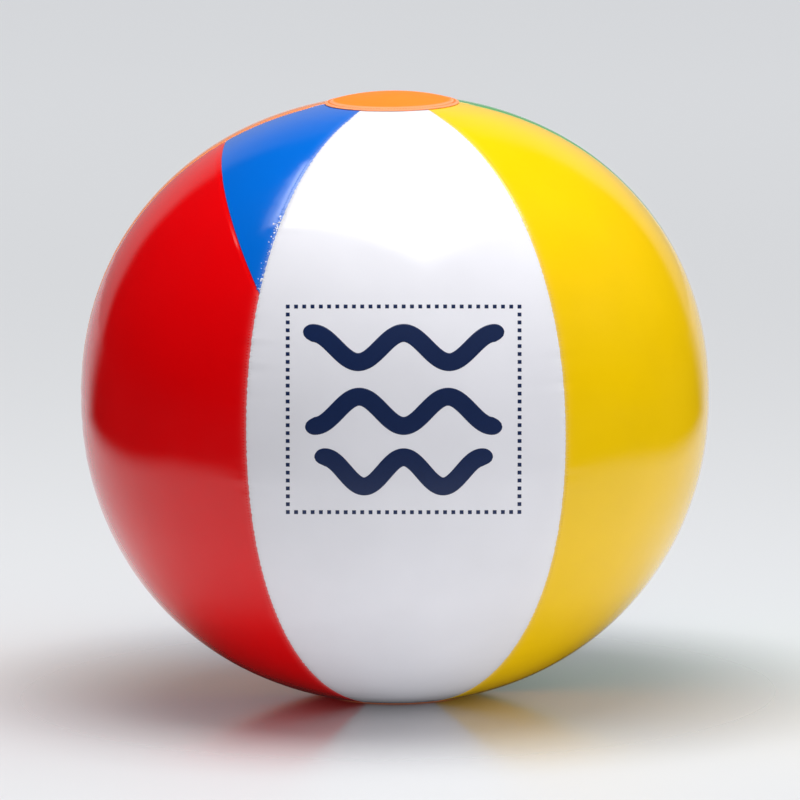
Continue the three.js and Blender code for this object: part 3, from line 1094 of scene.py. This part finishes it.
def make_print_waves():
    """Three bold wave bands inside the frame."""
    bands = {"top": (93, 28.8, 0.0), "middle": (91, -0.9, math.pi), "bottom": (82, -29.1, 0.0)}
    for row, (width, shift, phase) in bands.items():
        points, faces = wave_band(width * MM, shift * MM, phase)
        lay_ink(new_object("band", points, faces), f"print_wave_{row}")


# ------------------------------------------------------------------ valve


# In the valve's frame, as in the CAD model
STRAP_FOLD = Vector((8.1 * MM, 1.15 * MM))
HOLE_RADIUS = 8.8 * MM
FLANGE_INNER, FLANGE_OUTER = 8.5 * MM, 12.5 * MM
STEM_BORE, STEM_RADIUS, COLLAR_RADIUS = 3.0 * MM, 4.3 * MM, 5.2 * MM
STEM_FOOT, STEM_TOP = -13.5 * MM, 1.0 * MM
DIAPHRAGM_TOP, DIAPHRAGM_FOOT, DIAPHRAGM_DEPTH = 8.3 * MM, 5.1 * MM, 10 * MM
DIAPHRAGM_WALL = 0.45 * MM
STRAP_WIDTH = 3.2 * MM
PLUG_HEAD = 5.0 * MM


def valve_matrix():
    """Frame of the valve: origin on the film, z outwards along its slide, y towards the top cap."""
    outwards = Vector(JOINTS["valve_pull"]["axis"]).normalized()
    up_slope = Vector((1, 0, 0)).cross(outwards) * -1
    up_slope = up_slope if up_slope.z > 0 else -up_slope
    across = up_slope.cross(outwards)
    hinge = Vector(JOINTS["plug_swing"]["pos_m"])
    origin = hinge - up_slope * STRAP_FOLD.x - outwards * STRAP_FOLD.y
    turn = Matrix((across, up_slope, outwards)).transposed().to_4x4()
    return Matrix.Translation(origin) @ turn


def cut_valve_hole(film):
    """Cuts the round hole for the valve through the film."""
    drill = turned(
        "drill", [(0, -6 * MM), (HOLE_RADIUS, -6 * MM), (HOLE_RADIUS, 6 * MM), (0, 6 * MM)],
        96, None, closed=False,
    )
    drill.data.transform(valve_matrix())
    cut = film.modifiers.new("hole", "BOOLEAN")
    cut.operation = "DIFFERENCE"
    cut.solver = "EXACT"
    cut.object = drill
    graph = bpy.context.evaluated_depsgraph_get()
    graph.update()
    mesh = bpy.data.meshes.new_from_object(film.evaluated_get(graph))
    film.modifiers.clear()
    film.data = mesh
    bpy.data.objects.remove(drill)


def flange_outline():
    """Section of the flange, whose underside falls away with the ball."""
    def seat(radius):
        return 0.05 * MM - radius ** 2 / (2 * BALL_RADIUS)

    return rounded(
        [
            (FLANGE_INNER, seat(FLANGE_INNER)),
            (FLANGE_OUTER, seat(FLANGE_OUTER)),
            (FLANGE_OUTER, seat(FLANGE_OUTER) + 0.25 * MM),
            (FLANGE_OUTER - 1.0 * MM, seat(FLANGE_OUTER - MM) + 0.55 * MM),
            (FLANGE_INNER + 0.9 * MM, seat(FLANGE_INNER) + 0.55 * MM),
            (FLANGE_INNER + 0.7 * MM, seat(FLANGE_INNER) + 0.85 * MM),
            (FLANGE_INNER, seat(FLANGE_INNER) + 0.85 * MM),
        ],
        0.2 * MM,
    )


def make_valve_flange():
    """The round flange that is welded to the film, with the weld's knurl on it."""
    made = turned("valve_flange_ring", flange_outline(), 128, clear_finish())
    made.data.transform(valve_matrix())
    ride(made, "ball", "clear_pvc", "valve_flange")
    radius = 10.6 * MM
    angles = np.arange(180) * 2 * math.pi / 180
    height = 0.6 * MM - radius ** 2 / (2 * BALL_RADIUS)
    circle = np.stack([radius * np.sin(angles), -radius * np.cos(angles), 0 * angles + height], -1)
    marks = knurl(
        "valve_flange_weld_knurl", [(circle, [(0, 0, 1)] * len(circle), True)], clear_finish(),
        pitch=1.1 * MM, length=1.6 * MM, width=0.5 * MM, height=0.1 * MM,
    )
    marks.data.transform(valve_matrix())
    ride(marks, "ball", "clear_pvc")


def make_valve_diaphragm():
    """The thin skirt between flange and stem, built in one fixed shape; the real skirt rolls inside
    out as the stem is pulled.
    """
    depth, wall = DIAPHRAGM_DEPTH, DIAPHRAGM_WALL
    down = np.linspace(0, 1, 26)
    outer = DIAPHRAGM_TOP + (DIAPHRAGM_FOOT - DIAPHRAGM_TOP) * down ** 1.25
    section = [(r - wall, -depth * t) for r, t in zip(outer, down)]
    section += [(r, -depth * t) for r, t in zip(outer[::-1], down[::-1])]
    made = turned("valve_diaphragm_skirt", section, 96, clear_finish())
    place = valve_matrix()
    made.data.transform(place)
    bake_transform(made)
    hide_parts("valve_diaphragm")


def block(name, width, from_y, to_y, bottom, top):
    """A plain plate in the valve's frame, to be melted into a moulding."""
    half = width / 2
    corners = [(x, y, z) for z in (bottom, top) for y in (from_y, to_y) for x in (-half, half)]
    faces = [(0, 2, 3, 1), (4, 5, 7, 6), (0, 1, 5, 4), (2, 6, 7, 3), (0, 4, 6, 2), (1, 3, 7, 5)]
    return new_object(name, corners, faces)


def moulded(name, parts, voxel, body, node):
    """Melts overlapping solids into one moulding with softened corners, in the valve's frame."""
    merged = bmesh.new()
    for part in parts:
        merged.from_mesh(part.data)
        bpy.data.objects.remove(part)
    mesh = bpy.data.meshes.new(name)
    merged.to_mesh(mesh)
    merged.free()
    rough = bpy.data.objects.new("rough", mesh)
    bpy.context.scene.collection.objects.link(rough)
    melt = rough.modifiers.new("melt", "REMESH")
    melt.mode = "VOXEL"
    melt.voxel_size = voxel
    melt.use_smooth_shade = True
    soften = rough.modifiers.new("soften", "SMOOTH")
    soften.factor = 0.5
    soften.iterations = 5
    made = frozen(rough, name, clear_finish())
    made.data.shade_smooth()
    made.data.transform(valve_matrix())
    return ride(made, body, "clear_pvc", node)


def make_valve_stem():
    """The stem: a tube with a rolled collar and the lug that holds the plug's strap."""
    collar_foot = STEM_TOP - 0.7 * MM
    section = rounded(
        [
            (STEM_BORE, STEM_FOOT), (STEM_RADIUS, STEM_FOOT), (STEM_RADIUS, collar_foot),
            (COLLAR_RADIUS, collar_foot), (COLLAR_RADIUS, STEM_TOP), (STEM_BORE, STEM_TOP),
        ],
        0.25 * MM,
    )
    tube = turned("tube", section, 96, None)
    low, high = collar_foot + 0.05 * MM, STEM_TOP - 0.05 * MM
    lug = block("lug", STRAP_WIDTH, 3.6 * MM, 7.7 * MM, low, high)
    moulded("valve_stem_tube", [tube, lug], 0.14 * MM, "valve", "valve_stem")


def make_valve_plug():
    """The plug: a tapered shank under a round head with a pull tab and the strap's root."""
    foot = STEM_TOP + 0.3 * MM
    top = foot + 1.4 * MM
    section = [
        (0, -4.3 * MM), (1.2 * MM, -4.3 * MM), (1.9 * MM, -3.4 * MM), (2.3 * MM, -2.5 * MM),
        (2.62 * MM, -1.25 * MM), (2.75 * MM, -0.25 * MM), (2.75 * MM, foot), (PLUG_HEAD, foot),
        (PLUG_HEAD, top - 0.35 * MM), (PLUG_HEAD - 0.35 * MM, top), (3.6 * MM, top),
        (3.2 * MM, top - 0.35 * MM), (0, top - 0.35 * MM),
    ]
    head = turned("head", section, 96, None, closed=False)
    low, high = foot + 0.05 * MM, foot + 0.7 * MM
    strap = block("root", STRAP_WIDTH, 4 * MM, 7.4 * MM, low, high)
    tab = block("tab", STRAP_WIDTH, -7.6 * MM, -4 * MM, low, high)
    grip = block("grip", STRAP_WIDTH, -7.6 * MM, -7.0 * MM, low, high + 0.35 * MM)
    moulded("valve_plug_moulding", [head, strap, tab, grip], 0.12 * MM, "plug", "valve_plug")


def make_plug_strap():
    """The thin hinge between the lug and the plug, bent round its fold."""
    lug_middle, strap_middle = 0.65 * MM, 1.67 * MM
    end_y, bend_y = 6.4 * MM, 7.6 * MM
    bend_middle = (lug_middle + strap_middle) / 2
    bend = (strap_middle - lug_middle) / 2
    angles = np.linspace(-math.pi / 2, math.pi / 2, 13)
    fold = [(bend_y + bend * math.cos(a), bend_middle + bend * math.sin(a)) for a in angles]
    line = [(end_y, lug_middle)] + fold + [(end_y, strap_middle)]
    line = np.array(line)
    heading = np.gradient(line, axis=0)
    heading /= np.linalg.norm(heading, axis=1)[:, None]
    outward = np.stack([heading[:, 1], -heading[:, 0]], -1)
    half_wall = 0.16 * MM
    outer, inner = line + half_wall * outward, line - half_wall * outward
    section = np.vstack([outer, inner[::-1], outer[:1]])
    across = np.linspace(-0.46, 0.46, 9) * STRAP_WIDTH
    points = np.array([[(x, y, z) for x in across] for y, z in section])
    faces = grid_faces(*points.shape[:2])
    made = new_object("valve_plug_strap", points.reshape(-1, 3), faces, clear_finish())
    close_ends(made)
    place = valve_matrix()
    made.data.transform(place)
    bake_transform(made)


def close_ends(made):
    """Merges doubled vertices, fills the open ends and turns every face outwards."""
    tidy = bmesh.new()
    tidy.from_mesh(made.data)
    bmesh.ops.remove_doubles(tidy, verts=tidy.verts, dist=1e-7)
    open_edges = [edge for edge in tidy.edges if edge.is_boundary]
    bmesh.ops.holes_fill(tidy, edges=open_edges, sides=0)
    bmesh.ops.recalc_face_normals(tidy, faces=tidy.faces)
    tidy.to_mesh(made.data)
    tidy.free()


def make_check_flap():
    """The soft flap that closes the stem's inner end, slightly dished."""
    top = STEM_FOOT - 0.3 * MM
    disc = rounded(
        [
            (1.2 * MM, top - 0.42 * MM), (3.9 * MM, top - 0.5 * MM), (3.9 * MM, top),
            (1.2 * MM, top - 0.06 * MM),
        ],
        0.18 * MM,
    )
    section = [(0, top - 0.42 * MM)] + [tuple(p) for p in disc] + [(0, top - 0.06 * MM)]
    made = turned("check_flap_disc", section, 72, clear_finish(), closed=False)
    made.data.transform(valve_matrix())
    ride(made, "flap", "clear_pvc", "check_flap")


# ------------------------------------------------------------------ stage


def view_axes(view):
    """Unit vectors from the ball to the camera, to its right, and up in its picture."""
    azimuth, elevation = view.azimuth, view.elevation
    out = Vector((
        math.sin(azimuth) * math.cos(elevation),
        -math.cos(azimuth) * math.cos(elevation),
        math.sin(elevation),
    ))
    lean = Matrix.Rotation(-view.roll, 3, out)
    right = lean @ Vector((math.cos(azimuth), math.sin(azimuth), 0))
    return out, right, out.cross(right)


def make_camera(view):
    """A long lens a little above the ball's equator."""
    data = bpy.data.cameras.new("camera")
    data.sensor_width = 36
    data.lens = data.sensor_width * view.distance / view.frame_width
    data.clip_start, data.clip_end = 0.1, 200
    camera = bpy.data.objects.new("camera", data)
    bpy.context.scene.collection.objects.link(camera)
    out, right, up = view_axes(view)
    aim = Vector((0, 0, CENTRE_HEIGHT)) + right * view.aim_right - up * view.aim_down
    camera.location = aim + out * view.distance
    camera.rotation_mode = "QUATERNION"
    camera.rotation_quaternion = Matrix((right, up, out)).transposed().to_quaternion()
    bpy.context.scene.camera = camera


def floor_material(view):
    """Painted board: pale and smooth, glossiest close to the ball and a little darker there, which
    is painted shade under the ball. Far from the ball it glows, as the studio's own lamps light it
    there."""
    material, tree, place = new_material("satin_white_board")
    away = add_node(tree, "ShaderNodeVectorMath", {0: place}, operation="LENGTH")
    # What changes with distance from the ball: from, to, first value, last value
    changes = {
        "glow": (0.25, 2.5, 0.0, 0.2),
        "bounce start": (0.0, 0.1, 0.0, view.bounce),
        "bounce end": (0.12, 0.36, 1.0, 0.0),
        # painted shade: the board's colour darkens towards the ball
        "painted_shade end": (0.08, 0.22, 0.0, 1.0),
        "roughness": (0.08, 0.3, 0.16, 0.42),
        "gloss": (0.12, 0.24, 0.9, 0.03),
        "own shadow": (0.085, 0.165, 0.0, -1.0),
    }
    fade = {
        change: add_node(
            tree, "ShaderNodeMapRange",
            {"Value": away, "From Min": near, "From Max": far, "To Min": start, "To Max": end},
            interpolation_type="SMOOTHSTEP",
        )
        for change, (near, far, start, end) in changes.items()
    }
    # Painted light: the board under the ball glows for diffuse rays only. It stands in for light
    # that comes through the thin film, and brightens the ball from below.
    bounce = add_node(
        tree, "ShaderNodeMath", {0: fade["bounce start"], 1: fade["bounce end"]},
        operation="MULTIPLY",
    )
    path = add_node(tree, "ShaderNodeLightPath")
    strength = add_node(
        tree, "ShaderNodeMath", {0: path.outputs["Is Diffuse Ray"], 1: bounce, 2: fade["glow"]},
        operation="MULTIPLY_ADD",
    )
    # Painted shade: the darker colour close to the ball stands in for the ball's shadow on the
    # board.
    shade = add_node(
        tree, "ShaderNodeMixRGB",
        {"Fac": fade["painted_shade end"], "Color1": linear("#BDBABA"), "Color2": linear("#D3D4D5")},
    )
    board = add_node(
        tree, "ShaderNodeBsdfPrincipled",
        {
            "Base Color": shade, "IOR": 1.5, "Roughness": fade["roughness"],
            "Specular IOR Level": fade["gloss"],
            "Emission Color": linear("#F4F7FA"), "Emission Strength": strength,
        },
    )
    # The ball mirrors the lit board only between its own shadow and this oval, which behind the
    # ball stays as wide as the backdrop.
    in_front = add_node(
        tree, "ShaderNodeVectorMath", {0: place, 1: (FLOOR_REACH, 0.0, FLOOR_REACH)},
        operation="MINIMUM",
    )
    far_side = add_node(tree, "ShaderNodeMath", {0: away, 1: 0.66}, operation="MULTIPLY")
    side = add_node(tree, "ShaderNodeMath", {0: far_side, 1: view.board_side}, operation="MAXIMUM")
    spans = add_node(tree, "ShaderNodeCombineXYZ", {"X": side, "Y": view.board_front, "Z": 1.0})
    oval = add_node(tree, "ShaderNodeVectorMath", {0: in_front, 1: spans}, operation="DIVIDE")
    reach = add_node(tree, "ShaderNodeVectorMath", {0: oval}, operation="LENGTH")
    lit_oval = add_node(
        tree, "ShaderNodeMapRange",
        {"Value": reach, "From Min": 0.7, "From Max": 1.04, "To Min": 1.0, "To Max": 0.0},
        interpolation_type="SMOOTHSTEP",
    )
    unlit_share = add_node(
        tree, "ShaderNodeMath", {0: lit_oval, 1: fade["own shadow"], 2: 1.0},
        operation="MULTIPLY_ADD",
    )
    unlit = add_node(
        tree, "ShaderNodeMath", {0: path.outputs["Is Glossy Ray"], 1: unlit_share},
        operation="MULTIPLY",
    )
    dark = add_node(tree, "ShaderNodeEmission", {"Strength": view.surround})
    shader = add_node(tree, "ShaderNodeMixShader", {0: unlit, 1: board, 2: dark})
    add_node(tree, "ShaderNodeOutputMaterial", {"Surface": shader})
    return material


def make_floor(view):
    """A wide flat floor under the ball."""
    half = FLOOR_REACH
    corners = [(-half, -half, 0), (half, -half, 0), (half, half, 0), (-half, half, 0)]
    new_object("floor_board", corners, [(0, 1, 2, 3)], floor_material(view))


def make_world(view):
    """Studio walls: soft and pale for shading, and dark with a pale backdrop in reflections."""
    world = bpy.data.worlds.new("studio")
    world.use_nodes = True
    tree = world.node_tree
    tree.nodes.clear()
    direction = add_node(tree, "ShaderNodeTexCoord").outputs["Generated"]
    parts = add_node(tree, "ShaderNodeSeparateXYZ", {"Vector": direction}).outputs
    # The backdrop is an arch behind the ball, and the studio round it is dark.
    arch = add_node(
        tree, "ShaderNodeVectorMath",
        {0: direction, 1: (1 / ARCH_WIDTH, 0, 1 / ARCH_HEIGHT), 2: (0, 0, 0.12)},
        operation="MULTIPLY_ADD",
    )
    reach = add_node(tree, "ShaderNodeVectorMath", {0: arch}, operation="LENGTH")
    # Smooth changes: value, from, to, first result, last result
    changes = {
        "in arch": (reach, 1.0, 0.86, 0.0, 1.0),
        "arch light": (parts["Z"], 0.3, 0.7, 1.0, 0.3),
        "above horizon": (parts["Z"], 0.0, 0.4, 0.2, 1.0),
    }
    fade = {
        change: add_node(
            tree, "ShaderNodeMapRange",
            {"Value": value, "From Min": low, "From Max": high, "To Min": start, "To Max": end},
            interpolation_type="SMOOTHSTEP",
        )
        for change, (value, low, high, start, end) in changes.items()
    }
    behind = add_node(tree, "ShaderNodeMath", {0: parts["Y"], 1: 0.0}, operation="GREATER_THAN")
    lit_behind = add_node(
        tree, "ShaderNodeMath", {0: behind, 1: fade["arch light"]}, operation="MULTIPLY"
    )
    backdrop = add_node(
        tree, "ShaderNodeMath", {0: lit_behind, 1: fade["in arch"]}, operation="MULTIPLY"
    )
    reflected = add_node(
        tree, "ShaderNodeMapRange",
        {"Value": backdrop, "To Min": view.surround, "To Max": view.backdrop},
    )
    fill = add_node(
        tree, "ShaderNodeMapRange",
        {
            "Value": parts["X"], "From Min": -1.0, "From Max": 1.0,
            "To Min": view.fill_strength * (1 - view.fill_lean),
            "To Max": view.fill_strength * (1 + view.fill_lean),
        },
    )
    soft = add_node(
        tree, "ShaderNodeMath", {0: fill, 1: fade["above horizon"]}, operation="MULTIPLY"
    )
    path = add_node(tree, "ShaderNodeLightPath").outputs
    shading = add_node(
        tree, "ShaderNodeMix", {"Factor": path["Is Glossy Ray"], "A": soft, "B": reflected}
    )
    seen = add_node(
        tree, "ShaderNodeMix", {"Factor": path["Is Camera Ray"], "A": shading, "B": view.horizon}
    )
    light = add_node(tree, "ShaderNodeBackground", {"Color": linear("#FBFCFF"), "Strength": seen})
    add_node(tree, "ShaderNodeOutputWorld", {"Surface": light})
    bpy.context.scene.world = world


def make_softbox(name, width, depth, place, aim, power):
    """A rectangular studio light."""
    data = bpy.data.lights.new(name, "AREA")
    data.shape = "RECTANGLE"
    data.size, data.size_y = width, depth
    data.energy = power
    lamp = bpy.data.objects.new(name, data)
    bpy.context.scene.collection.objects.link(lamp)
    lamp.location = place
    lamp.rotation_mode = "QUATERNION"
    lamp.rotation_quaternion = (Vector(place) - Vector(aim)).to_track_quat("Z", "Y")
    lamp.visible_camera = False
    return lamp


def make_stage():
    """Camera, floor, lights and studio."""
    view = bpy.context.scene.ball_view
    make_camera(view)
    make_floor(view)
    make_world(view)
    middle = (0, 0, CENTRE_HEIGHT)
    # Three panels of one lamp, a little apart, so that its edge is soft in reflections.
    panels = {"softbox_core": (0.86, 1.45), "softbox": (1.0, 1.46), "softbox_edge": (1.14, 1.47)}
    for name, (spread, height) in panels.items():
        make_softbox(
            name, SOFTBOX_WIDTH * spread, SOFTBOX_DEPTH * spread,
            (SOFTBOX_X, SOFTBOX_Y, height), middle, view.key_strength / len(panels),
        )
    bpy.context.scene.view_settings.view_transform = "Standard"


# ------------------------------------------------------------------ add-on


class BALL_OT_stage(bpy.types.Operator):
    """Adds the camera, floor, lights and studio"""

    bl_idname = "ball.stage"
    bl_label = "Stage"
    bl_options = {"REGISTER", "UNDO"}

    def execute(self, context):
        make_stage()
        return {"FINISHED"}


class BALL_OT_whole_gores(bpy.types.Operator):
    """Builds the five one-piece film gores"""

    bl_idname = "ball.whole_gores"
    bl_label = "Whole Gores"
    bl_options = {"REGISTER", "UNDO"}

    def execute(self, context):
        make_whole_gores()
        return {"FINISHED"}


class BALL_OT_split_gore(bpy.types.Operator):
    """Builds the red and blue panels and their lap"""

    bl_idname = "ball.split_gore"
    bl_label = "Split Gore"
    bl_options = {"REGISTER", "UNDO"}

    def execute(self, context):
        make_split_gore()
        return {"FINISHED"}


class BALL_OT_weld_knurl(bpy.types.Operator):
    """Adds the welding tool's marks beside the seams"""

    bl_idname = "ball.weld_knurl"
    bl_label = "Weld Knurl"
    bl_options = {"REGISTER", "UNDO"}

    def execute(self, context):
        make_weld_knurl()
        return {"FINISHED"}


class BALL_OT_painted_glints(bpy.types.Operator):
    """Adds the painted glints, specks of white film beside one seam"""

    bl_idname = "ball.weld_flash"
    bl_label = "Weld Flash"
    bl_options = {"REGISTER", "UNDO"}

    def execute(self, context):
        make_painted_glints()
        return {"FINISHED"}


class BALL_OT_caps(bpy.types.Operator):
    """Builds the two pole caps with their weld rings"""

    bl_idname = "ball.caps"
    bl_label = "Pole Caps"
    bl_options = {"REGISTER", "UNDO"}

    def execute(self, context):
        make_caps()
        return {"FINISHED"}


class BALL_OT_print_frame(bpy.types.Operator):
    """Prints the dotted frame on the white gore"""

    bl_idname = "ball.print_frame"
    bl_label = "Dotted Frame"
    bl_options = {"REGISTER", "UNDO"}

    def execute(self, context):
        make_print_frame()
        return {"FINISHED"}


class BALL_OT_print_waves(bpy.types.Operator):
    """Prints three wave bands inside the frame"""

    bl_idname = "ball.print_waves"
    bl_label = "Wave Bands"
    bl_options = {"REGISTER", "UNDO"}

    def execute(self, context):
        make_print_waves()
        return {"FINISHED"}


class BALL_OT_valve_flange(bpy.types.Operator):
    """Builds the flange and its weld marks"""

    bl_idname = "ball.valve_flange"
    bl_label = "Valve Flange"
    bl_options = {"REGISTER", "UNDO"}

    def execute(self, context):
        make_valve_flange()
        return {"FINISHED"}


class BALL_OT_valve_diaphragm(bpy.types.Operator):
    """Builds the skirt between flange and stem, in one fixed shape"""

    bl_idname = "ball.valve_diaphragm"
    bl_label = "Valve Skirt"
    bl_options = {"REGISTER", "UNDO"}

    def execute(self, context):
        make_valve_diaphragm()
        return {"FINISHED"}


class BALL_OT_valve_stem(bpy.types.Operator):
    """Moulds the stem with its collar and lug"""

    bl_idname = "ball.valve_stem"
    bl_label = "Valve Stem"
    bl_options = {"REGISTER", "UNDO"}

    def execute(self, context):
        make_valve_stem()
        return {"FINISHED"}


class BALL_OT_valve_plug(bpy.types.Operator):
    """Moulds the plug with its tab"""

    bl_idname = "ball.valve_plug"
    bl_label = "Valve Plug"
    bl_options = {"REGISTER", "UNDO"}

    def execute(self, context):
        make_valve_plug()
        return {"FINISHED"}


class BALL_OT_plug_strap(bpy.types.Operator):
    """Builds the folded strap of the plug"""

    bl_idname = "ball.plug_strap"
    bl_label = "Plug Strap"
    bl_options = {"REGISTER", "UNDO"}

    def execute(self, context):
        make_plug_strap()
        return {"FINISHED"}


class BALL_OT_check_flap(bpy.types.Operator):
    """Builds the flap at the stem's inner end"""

    bl_idname = "ball.check_flap"
    bl_label = "Check Flap"
    bl_options = {"REGISTER", "UNDO"}

    def execute(self, context):
        make_check_flap()
        return {"FINISHED"}


OPERATORS = [
    BALL_OT_stage,
    BALL_OT_whole_gores,
    BALL_OT_split_gore,
    BALL_OT_weld_knurl,
    BALL_OT_painted_glints,
    BALL_OT_caps,
    BALL_OT_print_frame,
    BALL_OT_print_waves,
    BALL_OT_valve_flange,
    BALL_OT_valve_diaphragm,
    BALL_OT_valve_stem,
    BALL_OT_valve_plug,
    BALL_OT_plug_strap,
    BALL_OT_check_flap,
]

SETTINGS = {
    "ball_colours": BallColours,
    "ball_film": FilmSizes,
    "ball_welds": WeldSizes,
    "ball_print": PrintSizes,
    "ball_view": ViewSettings,
}


class BALL_PT_panel(bpy.types.Panel):
    """Lists the ball's settings and the buttons that build its pieces."""

    bl_label = "Beach Ball"
    bl_idname = "BALL_PT_panel"
    bl_space_type = "VIEW_3D"
    bl_region_type = "UI"
    bl_category = "Beach Ball"

    def draw(self, context):
        """Draws the buttons, then every setting."""
        for made in OPERATORS:
            self.layout.operator(made.bl_idname)
        for name, group in SETTINGS.items():
            settings = getattr(context.scene, name)
            box = self.layout.box()
            for prop in group.__annotations__:
                box.prop(settings, prop)


def register():
    """Registers the settings, the operators and the panel."""
    for name, group in SETTINGS.items():
        bpy.utils.register_class(group)
        setattr(bpy.types.Scene, name, bpy.props.PointerProperty(type=group))
    for made in OPERATORS + [BALL_PT_panel]:
        bpy.utils.register_class(made)


def unregister():
    """Removes what register added."""
    for made in [BALL_PT_panel] + OPERATORS[::-1]:
        bpy.utils.unregister_class(made)
    for name, group in SETTINGS.items():
        delattr(bpy.types.Scene, name)
        bpy.utils.unregister_class(group)


def main():
    """Builds every piece around the frame."""
    register()
    for made in OPERATORS:
        group, name = made.bl_idname.split(".")
        getattr(getattr(bpy.ops, group), name)()


if __name__ == "__main__":
    main()
